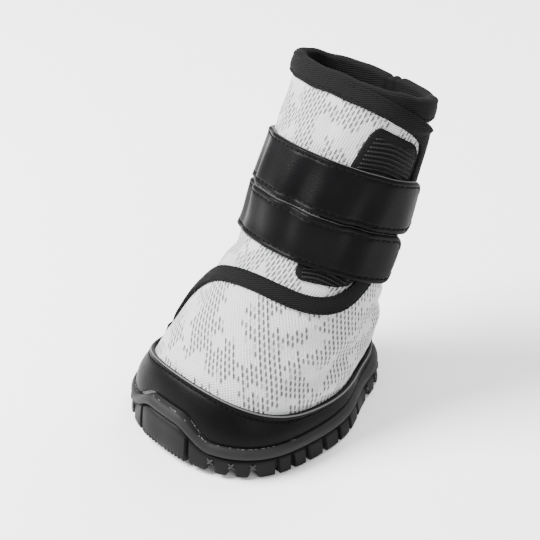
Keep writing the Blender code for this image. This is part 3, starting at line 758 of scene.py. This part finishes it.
def dip(gap, width, depth, soft=0.45):
    """A groove's depth at a distance from its middle line."""
    return depth * ramp((width / 2 + soft / 2 - gap) / soft)


def refined(route, pieces=4):
    count = (len(route) - 1) * pieces
    places = np.arange(count + 1) / pieces
    return list(zip(*(hermite([place[k] for place in route], places) for k in (0, 1))))


def tread_route(shares):
    return [(x * SOLE_HALF_WIDTH, f * SOLE_TOE_REACH) for x, f in shares]


def nearest(x, f, routes):
    """Distance to the nearest of some routes, on both sides of the sole alike."""
    return np.min([segment_gap(np.abs(x), f, route) for route in routes], axis=0)


def split_gap(x, f):
    """Distance to the cuts that part the tread's blocks."""
    routes = [tread_route(split) for split in BLOCK_SPLITS + BLOCK_SLOTS]
    routes += [refined(tread_route(side)) for side in (TOE_BLOCK_SIDE, HEEL_BLOCK_SIDE)]
    return nearest(x, f, routes)


def lobe_gap(x, f):
    """Distance to the gaps between the lobes of the sole's side."""
    routes = []
    for turn in LOBE_TURNS:
        inner, outer = sole_edge(turn, -2.4), sole_edge(turn, 2.0)
        routes.append([(inner[0], -inner[1]), (outer[0], -outer[1])])
    return nearest(x, f, routes)


def paw_depth(x, f):
    """A plain paw print sunk in the medallion, pad towards the heel."""
    pad = ellipse_gap(x, f, (0.0, -2.6), (4.3, 3.3))
    best = np.minimum(np.abs(pad), 9.0)
    for toe_x, toe_f, wide, tall in ((-5.4, 1.3, 1.5, 2.1), (-2.0, 4.4, 1.5, 2.2)):
        best = np.minimum(best, np.abs(ellipse_gap(np.abs(x), f, (-toe_x, toe_f), (wide, tall))))
    return dip(best, 0.9, 0.7)


def number_depth(x, f):
    """The plain size number, its top towards the heel."""
    middle = -0.60 * SOLE_TOE_REACH
    rings = (
        ((1.9, middle), (1.3, 2.3)),
        ((-1.9, middle - 1.15), (1.1, 1.05)),
        ((-1.9, middle + 1.25), (1.35, 1.25)),
    )
    best = np.min([np.abs(ellipse_gap(x, f, spot, radii)) for spot, radii in rings], axis=0)
    return dip(best, 0.55, 0.5, 0.3)


def edge_cut(x, f):
    """How deep the splits and the lobes cut the tread's edge."""
    scallop = LOBE_RISE * bell(lobe_gap(x, f), LOBE_SPREAD)
    return np.maximum(dip(split_gap(x, f), GROOVE_WIDTH, GROOVE_DEPTH), scallop)


def tread_depth(x, f, marks):
    """How deep the tread is cut at (x, forward), with its small marks at a share."""
    radius = np.hypot(x, f)
    aside = np.abs(x)
    side = tread_route(OVAL_SIDE)
    routes = [refined(side)]
    shares = np.linspace(0, 1, 9)
    for (end_x, end_f), middle in ((side[0], OVAL_FRONT_MIDDLE), (side[-1], OVAL_BACK_MIDDLE)):
        middle_f = middle * SOLE_TOE_REACH
        routes.append(list(zip(end_x * shares, middle_f + (end_f - middle_f) * shares**2)))
    ring = np.abs(radius - MEDALLION_RADIUS - GROOVE_WIDTH / 2)
    grooves = np.minimum(nearest(x, f, routes), ring)
    depths = [edge_cut(x, f), dip(grooves, GROOVE_WIDTH, GROOVE_DEPTH)]
    for ribs, half in ((TOE_RIBS, TOE_RIB_HALF), (HEEL_RIBS, HEEL_RIB_HALF)):
        for share in ribs:
            rib = [(-half, share * SOLE_TOE_REACH), (half, share * SOLE_TOE_REACH)]
            depths.append(dip(segment_gap(x, f, rib), RIB_WIDTH, GROOVE_DEPTH * 0.8))
    in_field = (radius > MEDALLION_RADIUS + GROOVE_WIDTH) & (aside < 21) & (f < 16) & (f > -20)
    bands = 0.35 * (0.5 + 0.5 * np.sin(f * 2 * np.pi / 4.4))
    corner_block = (aside > 13) & ((f > 20) | (f < -28))
    stars = np.minimum(np.abs(np.sin((x + f) * 0.9)), np.abs(np.sin((x - f) * 0.9)))
    side_block = (aside > 23.5) & (f < 18) & (f > -27)
    dots = np.sin(x * 2.4) * np.sin(f * 2.4)
    depths += [
        np.where(in_field, bands, 0.0),
        np.where(corner_block, 1.1 * marks * ramp((0.38 - stars) / 0.2), 0.0),
        np.where(side_block, 0.5 * marks * ramp((dots - 0.55) / 0.3), 0.0),
        paw_depth(x, f),
        number_depth(x, f),
    ]
    return np.max(depths, axis=0)


# Side of the sole from the ground up: out, height over the tread's edge, lifts, proud
WALL_ROWS = (
    (-0.2, 0, 0, 0),
    (0.35, 0.2, 0, 0.6),
    (0.65, 0.6, 0, 1),
    (0.7, 1.1, 0.05, 1),
    (0.68, 1.7, 0.15, 1),
    (0.62, 2.3, 0.25, 1),
    (0.55, 2.9, 0.35, 1),
    (0.46, 3.5, 0.45, 1),
    (0.36, 4.1, 0.55, 1),
    (0.26, 4.7, 0.65, 1),
    (0.16, 5.3, 0.75, 1),
    (0.05, 5.9, 0.88, 1),
    (-0.14, 6.45, 1, 0.9),
    (-0.4, 6.8, 1, 0.8),
    (-0.95, 7, 1, 0.3),
    (-1.3, 7.35, 1, 0),
    (-1, 7.75, 1, 0),
    (-0.25, 7.95, 1, 0),
    (0.2, 8.25, 1, 0.1),
    (0.44, 8.8, 1, 0.2),
    (0.5, 9.5, 1, 0.3),
    (0.42, 10.2, 1, 0.2),
    (0.2, 10.85, 1, 0.1),
    (-0.15, 11.4, 1, 0),
    (-0.55, 11.8, 1, 0),
    (-0.85, 12.02, 1, 0),
    (-1.1, 12.1, 1, 0),
)
BEAD_FIRST_ROW = 17
LUG_ROWS = 14
LUG_NOTCH = 1.7
LOBE_NOTCH = 2.2


def wall_notch(turns, height):
    """How far the lugs of the side wall are cut back at a height."""
    edge = sole_edge(turns)
    x, f = edge[:, 0], -edge[:, 1]
    full = dip(split_gap(x, f), GROOVE_WIDTH, LUG_NOTCH, 0.6) * (1 - ramp((height - 6.4) / 0.4))
    lobes = LOBE_NOTCH * bell(lobe_gap(x, f), 1.1) * (1 - ramp((height - 2.6) / 1.6))
    run = run_lengths(edge[None], 1)[0]
    notched = 0.75 * np.maximum(np.sin(run * 2 * np.pi / 1.9), 0) * (1 - ramp((height - 0.5) / 1.3))
    notched = np.where((np.abs(x) < 17.0) & (f > 30), notched, 0.0)
    return np.maximum(np.maximum(full, lobes), notched)


def build_outsole():
    columns, tread_rows = 840, 84
    turns = closed_turns(columns)
    edge = sole_edge(turns)
    middle = np.array((0.0, SOLE_CENTRE + (SOLE_HEEL_REACH - SOLE_TOE_REACH) / 2, 0.0))
    rings = []
    rim = sole_edge(turns, WALL_ROWS[0][0] - wall_notch(turns, 0.0))
    for share in np.linspace(0.012, 0.995, tread_rows):
        ring = middle + (rim - middle) * share
        depth = tread_depth(ring[:, 0], -ring[:, 1], 1 - ramp((share - 0.9) / 0.06))
        ring[:, 2] = toe_spring(ring[:, 1]) + depth
        rings.append(ring)
    edge_depth = edge_cut(edge[:, 0], -edge[:, 1])
    rise = bumper(edge[:, 0], edge[:, 1])
    for number, (out, height, lifts, proud) in enumerate(WALL_ROWS):
        cut = wall_notch(turns, height) if number < LUG_ROWS else 0.0
        ring = sole_edge(turns, out + BUMPER_PROUD * proud * rise - cut)
        ring[:, 2] = height + toe_spring(edge[:, 1]) + lifts * BUMPER_RISE * rise
        ring[:, 2] += np.maximum(edge_depth + 0.02 * number - height, 0.0)
        rings.append(ring)
    cup_top = level_at_height(turns, rim_top(turns), CLEARANCE)
    for share in (1.0, 0.8, 0.55, 0.3):
        rings.append(lifted(turns, cup_top * share, CLEARANCE, creased=False))
    seat = lifted(turns, np.zeros_like(turns), CLEARANCE, creased=False)
    seat[:, 2] = SEAT_HEIGHT
    seat_middle = seat[:-1].mean(axis=0)
    rings += [seat, seat_middle + (seat - seat_middle) * 0.5, seat_middle + (seat - seat_middle) * 0.02]
    points = np.array(rings)
    uv = points[..., :2].copy()
    rows = np.zeros(len(points) - 1, int)
    # The bead's rows take the lighter rubber, a painted highlight.
    first = tread_rows + BEAD_FIRST_ROW
    rows[first : first + len(WALL_ROWS) - BEAD_FIRST_ROW] = 1
    index = rows[:, None]
    piece = surface("cup_sole", points, uv, [RUBBER, BEAD_HIGHLIGHT_RUBBER], ring=False, index=index, caps=True)
    place_piece(piece, "sole_rubber", "outsole")


def stitches(name, centres, along, out, finish, length=STITCH_LENGTH, radius=THREAD_RADIUS):
    """A row of short threads, joined in one mesh."""
    along = unit(along)
    side = unit(np.cross(out, along))
    up = np.cross(along, side)
    angles = 2 * math.pi * np.arange(THREAD_SIDES) / THREAD_SIDES
    corners, faces = [], []
    for centre, ahead, aside, above in zip(centres, along, side, up):
        base = len(corners)
        around = np.outer(np.cos(angles), aside) + np.outer(np.sin(angles), above)
        for place, size in THREAD_RINGS:
            corners.extend(centre + ahead * place * length + around * radius * size)
        last = len(corners) - THREAD_SIDES
        for ring in range(base, last, THREAD_SIDES):
            for k in range(THREAD_SIDES):
                a, b = ring + k, ring + (k + 1) % THREAD_SIDES
                faces.append((a, b, b + THREAD_SIDES, a + THREAD_SIDES))
        faces += [range(base, base + THREAD_SIDES), range(last, last + THREAD_SIDES)]
    mesh = bpy.data.meshes.new(name)
    mesh.from_pydata(to_metres(corners).tolist(), [], faces)
    return finish_object(name, mesh, [finish], sharp=80.0)


def build_wall_marks():
    """Small raised crosses over the gaps between the lobes of the sole's side, coloured lighter as a
    painted highlight.
    """
    turns = np.repeat([side * turn for side in (-1, 1) for turn in LOBE_TURNS], 2)
    spots = sole_edge(turns, 0.5)
    spots[:, 2] = toe_spring(spots[:, 1]) + WALL_MARK_HEIGHT
    ahead = unit(sole_edge(turns + 1.0) - sole_edge(turns - 1.0))
    out = unit(sole_edge(turns, 1.0) - sole_edge(turns))
    slopes = np.tile((1.0, -1.0), len(turns) // 2)
    along = ahead + slopes[:, None] * np.array((0.0, 0.0, 1.1))
    piece = stitches("wall_marks", spots, along, out, MARK_HIGHLIGHT_RUBBER, length=3.2, radius=0.4)
    place_piece(piece, "sole_rubber")


def spaced(points, pitch):
    """Indices of a fine run of points that lie about pitch apart."""
    run = run_lengths(points[None], 1)[0]
    wanted = np.arange(pitch / 2, run[-1], pitch)
    return np.clip(np.searchsorted(run, wanted), 1, len(points) - 2)


def stitch_row(name, place, lift, slot, finish=THREAD, pitch=STITCH_PITCH, **sizes):
    """Stitches along a run of places on the skin, lift off it."""
    points = lifted(*place, lift)
    picks = spaced(points, pitch)
    along = points[picks + 1] - points[picks - 1]
    out = np.cross(*skin_slopes(*place))[picks]
    place_piece(stitches(name, points[picks], along, out, finish, **sizes), slot)


def build_toe_guard():
    """Leather band with a folded, piped upper edge and a seam below it."""
    turns = closed_turns(360)
    inner = CLEARANCE
    outer = CLEARANCE + GUARD_THICKNESS
    low = level_at_height(turns, clear_of_rim(turns), outer)
    high = guard_top_level(turns)
    tall = np.linalg.norm(skin(turns, high) - skin(turns, low), axis=-1)
    profile = [(0.0, inner + 0.3, 0.0), (0.0, outer - 0.2, 0.0)]
    for share in np.linspace(0.04, 0.78, 9):
        profile.append((share, outer + 0.35 * math.sin(math.pi * share), 0.0))
    profile += [
        (1.0, outer + 0.15, -2.3),
        (1.0, outer - 0.15, -1.95),
        (1.0, outer + 0.10, -1.65),
        (1.0, outer + 0.45, -1.2),
        (1.0, outer + 0.50, -0.7),
        (1.0, outer + 0.30, -0.25),
        (1.0, outer - 0.20, 0.0),
        (1.0, inner, -0.1),
        (0.5, inner, 0.0),
    ]
    profile.append(profile[0])
    rings = []
    for share, lift, drop in profile:
        level = low + (high - low) * (share + drop / tall)
        rings.append(lifted(turns, level, lift))
    points = np.array(rings)
    index = np.zeros((len(profile) - 1, 1), int)
    # The piping's top strip takes the pale edge finish, partly cut edge and partly painted highlight.
    index[-5] = 1
    piece = surface("leather_guard", points, band_uv(points, 1), [LEATHER, CUT_EDGE_AND_HIGHLIGHT], index=index)
    place_piece(piece, "leather", "toe_guard")
    seam = low + (high - low) * (1 - 1.95 / tall)
    stitch_row("guard_stitches", (turns, seam), outer - 0.02, "leather", pitch=2.4, length=1.7)


def build_collar_binding():
    """Twill tape folded over the collar's edge."""
    turns = closed_turns(300)
    slope = skin_gauge(turns, TOP_LEVEL, 1)
    outer = CLEARANCE + BINDING_THICKNESS
    inner = -UPPER_WALL - CLEARANCE - BINDING_THICKNESS
    middle, half = (outer + inner) / 2, (outer - inner) / 2
    profile = [(CLEARANCE, -COLLAR_BINDING_DROP), (outer - 0.45, -COLLAR_BINDING_DROP)]
    for share in np.linspace(0.08, 0.92, 10):
        bulge = 0.45 * math.sin(math.pi * share) - 0.15 * bell(share - 0.17, 0.05)
        profile.append((outer + bulge - 0.1, -COLLAR_BINDING_DROP * (1 - share)))
    for degrees in np.linspace(10, 170, 11):
        angle = math.radians(degrees)
        profile.append((middle + (half + 0.2) * math.cos(angle), 1.9 * math.sin(angle)))
    for share in np.linspace(0.1, 1.0, 6):
        profile.append((inner - 0.3 * math.sin(math.pi * share), -(COLLAR_BINDING_DROP - 1.0) * share))
    profile += [(-UPPER_WALL - CLEARANCE, 1.0 - COLLAR_BINDING_DROP), (-UPPER_WALL - CLEARANCE, CLEARANCE)]
    profile += [(CLEARANCE, CLEARANCE)]
    profile.append(profile[0])
    rings = []
    pinch = bell(np.abs(turns) - PINCH_TURN, PINCH_SPREAD)
    for lift, along in profile:
        level = TOP_LEVEL + min(along, 0.0) / slope
        wobble = 0.22 * np.sin(np.radians(turns * 7 + 30)) + 0.15 * np.sin(np.radians(turns * 13))
        wobble -= 0.5 * pinch * max(along, 0.0)
        squeezed = middle + (lift - middle) * (1 - 0.2 * pinch)
        rings.append(lifted(turns, level, squeezed, beyond=max(along, 0.0) + wobble))
    points = np.array(rings)
    piece = surface("collar_tape", points, band_uv(points, 1), [TWILL])
    place_piece(piece, "tape", "collar_binding")
    seam = TOP_LEVEL - (COLLAR_BINDING_DROP - 1.2) / slope
    stitch_row("collar_stitches", (turns, seam), outer - 0.05, "tape", pitch=2.6, length=1.8)


def layer_lift(turn, level):
    guard_edge = guard_top_level(turn) + LAP_MARGIN
    collar_edge = TOP_LEVEL - COLLAR_BINDING_DROP / skin_gauge(turn, TOP_LEVEL, 1) - LAP_MARGIN
    over_guard = ramp((guard_edge + LAP_CLIMB - level) / LAP_CLIMB) * (GUARD_THICKNESS + CLEARANCE)
    over_collar = ramp((level - collar_edge + LAP_CLIMB) / LAP_CLIMB) * (BINDING_THICKNESS + CLEARANCE)
    return CLEARANCE + over_guard * 1.15 + over_collar


def flap_route(pieces=14):
    foot_turn = np.array([float(FLAP_FOOT_TURN)])
    foot_lift = CLEARANCE + GUARD_THICKNESS + CLEARANCE + BINDING_THICKNESS
    foot_level = level_at_height(foot_turn, clear_of_rim(foot_turn) + CLEARANCE, foot_lift)[0]
    rows = ((FLAP_FOOT_TURN, foot_level), *FLAP_EDGE)
    places = np.arange(len(FLAP_EDGE) * pieces + 1) / pieces
    return [hermite([row[k] for row in rows], places) for k in (0, 1)]


def build_flap_binding():
    """Twill tape along the flap's edge, softly pillowed, with a seam near each edge."""
    turn, level = flap_route()
    points = skin(turn, level)
    along = unit(np.gradient(points, axis=0))
    round_slope, up_slope = skin_slopes(turn, level)
    normal = np.cross(round_slope, up_slope)
    out = unit(normal)
    scale = (normal**2).sum(axis=-1)
    half = BINDING_WIDTH / 2
    count = len(turn)
    left = (count - 1 - np.arange(count)) / (count - 1) * len(FLAP_EDGE) * 2 / FLAP_TAPER_SECTIONS
    thick = BINDING_THICKNESS * (FLAP_TAPER_END + (1 - FLAP_TAPER_END) * ramp(left))

    def beside(sideways):
        side = np.cross(out, along) * sideways
        turn_step = (np.cross(side, up_slope) * normal).sum(axis=-1) / scale
        level_step = (np.cross(round_slope, side) * normal).sum(axis=-1) / scale
        return turn + turn_step, np.minimum(level + level_step, TOP_LEVEL)

    profile = [(-half, 0.15), (-half, 0.6)]
    for share in np.linspace(-0.9, 0.9, 11):
        seam = 0.22 * bell(abs(share) - FLAP_SEAM, 0.09)
        profile.append((half * share, 1.0 + 0.28 * (1 - share**2) - seam))
    profile += [(half, 0.6), (half, 0.15), (half * 0.5, 0.0), (0.0, 0.0), (-half * 0.5, 0.0)]
    profile.append(profile[0])
    columns = []
    for sideways, share in profile:
        place = beside(sideways)
        columns.append(lifted(*place, layer_lift(*place) + thick * share))
    grid = np.stack(columns, axis=1)
    piece = surface("flap_tape", grid, band_uv(grid, 0), [TWILL], ring=False, caps=True)
    place_piece(piece, "tape", "flap_binding")
    for number, sideways in enumerate((-half * FLAP_SEAM, half * FLAP_SEAM)):
        place = beside(sideways)
        lift = layer_lift(*place) + thick - 0.08
        stitch_row(f"flap_stitches_{number}", place, lift, "tape", pitch=2.6, length=1.7, radius=0.22)


def build_patch():
    """Hook patch: a flat border round a field of raised ribs that run with the straps."""
    rows, across = 220, 64
    share = np.linspace(0, 1, rows)
    place = share * (len(PATCH_ROWS) - 1)
    left_level, left_turn, right_turn, right_level = (
        hermite([row[k] for row in PATCH_ROWS], place) for k in range(4)
    )
    near_end = np.minimum(share, 1 - share) * 8
    trim = 0.14 * (1 - np.sqrt(1 - (1 - np.minimum(near_end, 1.0)) ** 2))
    part = trim[:, None] + (1 - 2 * trim[:, None]) * np.linspace(0, 1, across)[None]
    turn = left_turn[:, None] + (right_turn - left_turn)[:, None] * part
    level = left_level[:, None] + (right_level - left_level)[:, None] * part
    flat = skin(turn, level)
    up = run_lengths(flat, 0)
    side = run_lengths(flat, 1)
    to_side = np.minimum(side, side[:, -1:] - side)
    to_top = up[-1:] - up
    to_edge = np.minimum(to_side, np.minimum(up, to_top))
    to_field = np.min((to_side - PATCH_BORDER, up - PATCH_LOW_BORDER, to_top - PATCH_TOP_BORDER), axis=0)
    ribs = np.maximum(np.sin(up * 2 * np.pi / PATCH_RIB_PITCH), -0.2) * ramp(to_field / 0.5)
    edge_round = 0.5 * (1 - ramp(to_edge / 0.7))
    outer = CLEARANCE + PATCH_THICKNESS + PATCH_RIB_HEIGHT * 0.6 * ribs - 0.4 - edge_round
    face = lifted(turn, level, outer)
    back_columns = np.linspace(across - 1, 0, 9).astype(int)
    lining = lifted(turn[:, back_columns], level[:, back_columns], CLEARANCE)
    grid = np.concatenate((face, lining, face[:, :1]), axis=1)
    border = np.ones((rows - 1, grid.shape[1] - 1), int)
    border[:, : across - 1] = to_field[:-1, :-1] < 0
    uv_face = np.stack((side, up), axis=-1)
    uv = np.concatenate((uv_face, uv_face[:, back_columns], uv_face[:, :1]), axis=1)
    piece = surface("hook_field", grid, uv, [HOOKS, TWILL], ring=False, index=border, caps=True)
    place_piece(piece, "hook_tape", "hook_patch")


def build_strap(name):
    """Leather strap with rounded edges, a seam along each and a pale top edge, partly its cut edge and
    partly painted highlight.
    """
    low_name, high_name, sewn, fastened = STRAPS[name]
    low = LEVEL[low_name] + STRAP_GAP_LEVEL
    high = LEVEL[high_name] - STRAP_GAP_LEVEL
    over_trim = 2 * CLEARANCE + max(BINDING_THICKNESS, PATCH_THICKNESS)
    end = np.array(float(fastened))
    wide = float(np.linalg.norm(skin(end, high) - skin(end, low)))
    sweep = float(skin_gauge(end, (low + high) / 2, 0))
    corner_turn = STRAP_CORNER / sweep
    corner_level = STRAP_CORNER / wide * (high - low)
    straight = np.linspace(sewn, fastened - corner_turn, 260)[:-1]
    rounded = fastened - corner_turn * (1 - np.sin(np.linspace(0, math.pi / 2, 14)))
    turns = np.concatenate((straight, rounded))
    into = np.clip((turns - fastened + corner_turn) / corner_turn, 0.0, 1.0)
    trim = corner_level * (1 - np.sqrt(1 - into**2)) * 0.98
    onto_trim = ramp((turns - STRAP_SETTLED_TURN) / (STRAP_RAISED_TURN - STRAP_SETTLED_TURN))
    inner = CLEARANCE + (over_trim - CLEARANCE) * onto_trim
    bottom, top = low + trim, high - trim
    edge_places = np.array((0.0, 0.15, 0.4, 0.8, 1.3, 1.8, 2.1, 2.3, 2.5, 2.9, 3.6))
    middle_places = np.linspace(4.8, wide - 4.8, 9)
    face_places = np.concatenate((edge_places, middle_places, wide - edge_places[::-1]))
    columns = []
    for place in face_places:
        to_edge = min(place, wide - place)
        rounding = 0.55 * (1 - min(to_edge / 0.8, 1.0)) ** 2
        seam = 0.26 * bell(to_edge - STITCH_INSET, 0.32)
        hem = 0.18 * bell(to_edge - 1.2, 0.6)
        lift = inner + STRAP_THICKNESS * (1 - rounding) - seam + hem
        columns.append(lifted(turns, bottom + (top - bottom) * place / wide, lift))
    for place in np.linspace(1.0, 0.0, 7):
        columns.append(lifted(turns, bottom + (top - bottom) * place, inner))
    columns.append(columns[0])
    grid = np.stack(columns, axis=1)
    # Pale top edge strip: partly the cut edge, partly painted highlight.
    pale = np.zeros(grid.shape[1] - 1, int)
    pale[len(face_places) - 2 : len(face_places)] = 1
    finishes = [LEATHER, CUT_EDGE_AND_HIGHLIGHT]
    piece = surface(f"{name}_leather", grid, band_uv(grid, 0), finishes, ring=False, index=pale, caps=True)
    place_piece(piece, "leather", name)
    body = turns <= fastened - STITCH_INSET / sweep
    shares = np.linspace(0.06, 0.94, 120)
    place = (np.full_like(shares, sewn + STITCH_INSET / sweep), low + (high - low) * shares)
    stitch_row(f"{name}_stitches_end", place, inner[0] + STRAP_THICKNESS - 0.08, "leather")
    for side, share in (("low", STITCH_INSET / wide), ("high", 1 - STITCH_INSET / wide)):
        place = (turns[body], (bottom + (top - bottom) * share)[body])
        stitch_row(f"{name}_stitches_{side}", place, inner[body] + STRAP_THICKNESS - 0.14, "leather")


def build_back_seam():
    """The closing seam down the back: a raised ridge on each side and one row of pale stitches down its
    middle.
    """
    levels = np.linspace(2.65, TOP_LEVEL - 0.62, 260)
    middle = np.full_like(levels, 180.0)
    slope = skin_gauge(middle, levels, 0)
    columns = []
    for aside, lift in ((-2.2, -0.1), (-1.2, 0.6), (0.0, 0.1), (1.2, 0.6), (2.2, -0.1), (0.0, -0.6)):
        columns.append(lifted(middle + aside / slope, levels, lift))
    columns.append(columns[0])
    grid = np.stack(columns, axis=1)
    uv = np.stack((run_lengths(grid, 1), run_lengths(grid, 0)), axis=-1)
    place_piece(surface("back_seam", grid, uv, [KNIT], ring=False, caps=True), "knit")
    stitch_row("back_stitches", (middle, levels), 0.18, "knit", PALE_THREAD, length=1.8)


def build_glue_specks():
    """Small dried drops of glue where the guard meets the sole's bead."""
    chance = np.random.default_rng(7)
    turns = np.sort(chance.uniform(-75, 80, 46))
    heights = rim_top(turns)
    spots = sole_edge(turns, chance.uniform(-1.6, -1.2, turns.size))
    spots[:, 2] = heights
    ahead = sole_edge(turns + 1.0) - sole_edge(turns - 1.0)
    ahead[:, 2] = rim_top(turns + 1.0) - rim_top(turns - 1.0)
    out = np.tile((0.0, 0.0, 1.0), (turns.size, 1))
    piece = stitches("glue_specks", spots, ahead, out, GLUE, length=0.8, radius=0.12)
    place_piece(piece, "sole_rubber")


def build_all():
    build_outsole()
    build_wall_marks()
    build_upper()
    build_toe_guard()
    build_collar_binding()
    build_flap_binding()
    build_patch()
    for name in STRAPS:
        build_strap(name)
    build_back_seam()
    build_glue_specks()
    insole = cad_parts["insole"]
    insole.data.materials.clear()
    insole.data.materials.append(plain_finish("insole_felt", (0.33, 0.335, 0.34), 0.9, 0.2))


def aim(thing, place, target):
    """Set a light or the camera at a place, looking at a target."""
    place = Vector(place)
    thing.location = place
    thing.rotation_euler = (Vector(target) - place).to_track_quat("-Z", "Y").to_euler()


def add_light(name, place, size, watts):
    data = bpy.data.lights.new(name, "AREA")
    data.shape = "DISK"
    data.size = size
    data.energy = watts
    aim(add_object(name, data), place, LIGHT_AIM)


def build_stage():
    """Pale floor, soft light and the camera."""
    mesh = bpy.data.meshes.new("floor")
    corners = [(-1, -1), (1, -1), (1, 1), (-1, 1)]
    corners = [(x * FLOOR_REACH, y * FLOOR_REACH, FLOOR_DROP) for x, y in corners]
    mesh.from_pydata(corners, [], [(0, 1, 2, 3)])
    mesh.materials.append(plain_finish("floor_paper", grey(0.96), 0.9))
    floor = add_object("floor", mesh)
    world = bpy.data.worlds.new("studio")
    world.use_nodes = True
    background = world.node_tree.nodes["Background"]
    background.inputs["Color"].default_value = (1.0, 1.0, 1.0, 1.0)
    background.inputs["Strength"].default_value = 1.0
    bpy.context.scene.world = world
    for light in LIGHTS:
        add_light(*light)
    data = bpy.data.cameras.new("camera")
    data.lens = CAMERA_LENS
    data.sensor_width = CAMERA_SENSOR
    data.clip_start = 0.01
    camera = add_object("camera", data)
    aim(camera, to_metres(CAMERA_PLACE), to_metres(CAMERA_TARGET))
    bpy.context.scene.camera = camera


build_stage()
build_all()
bpy.context.view_layer.update()
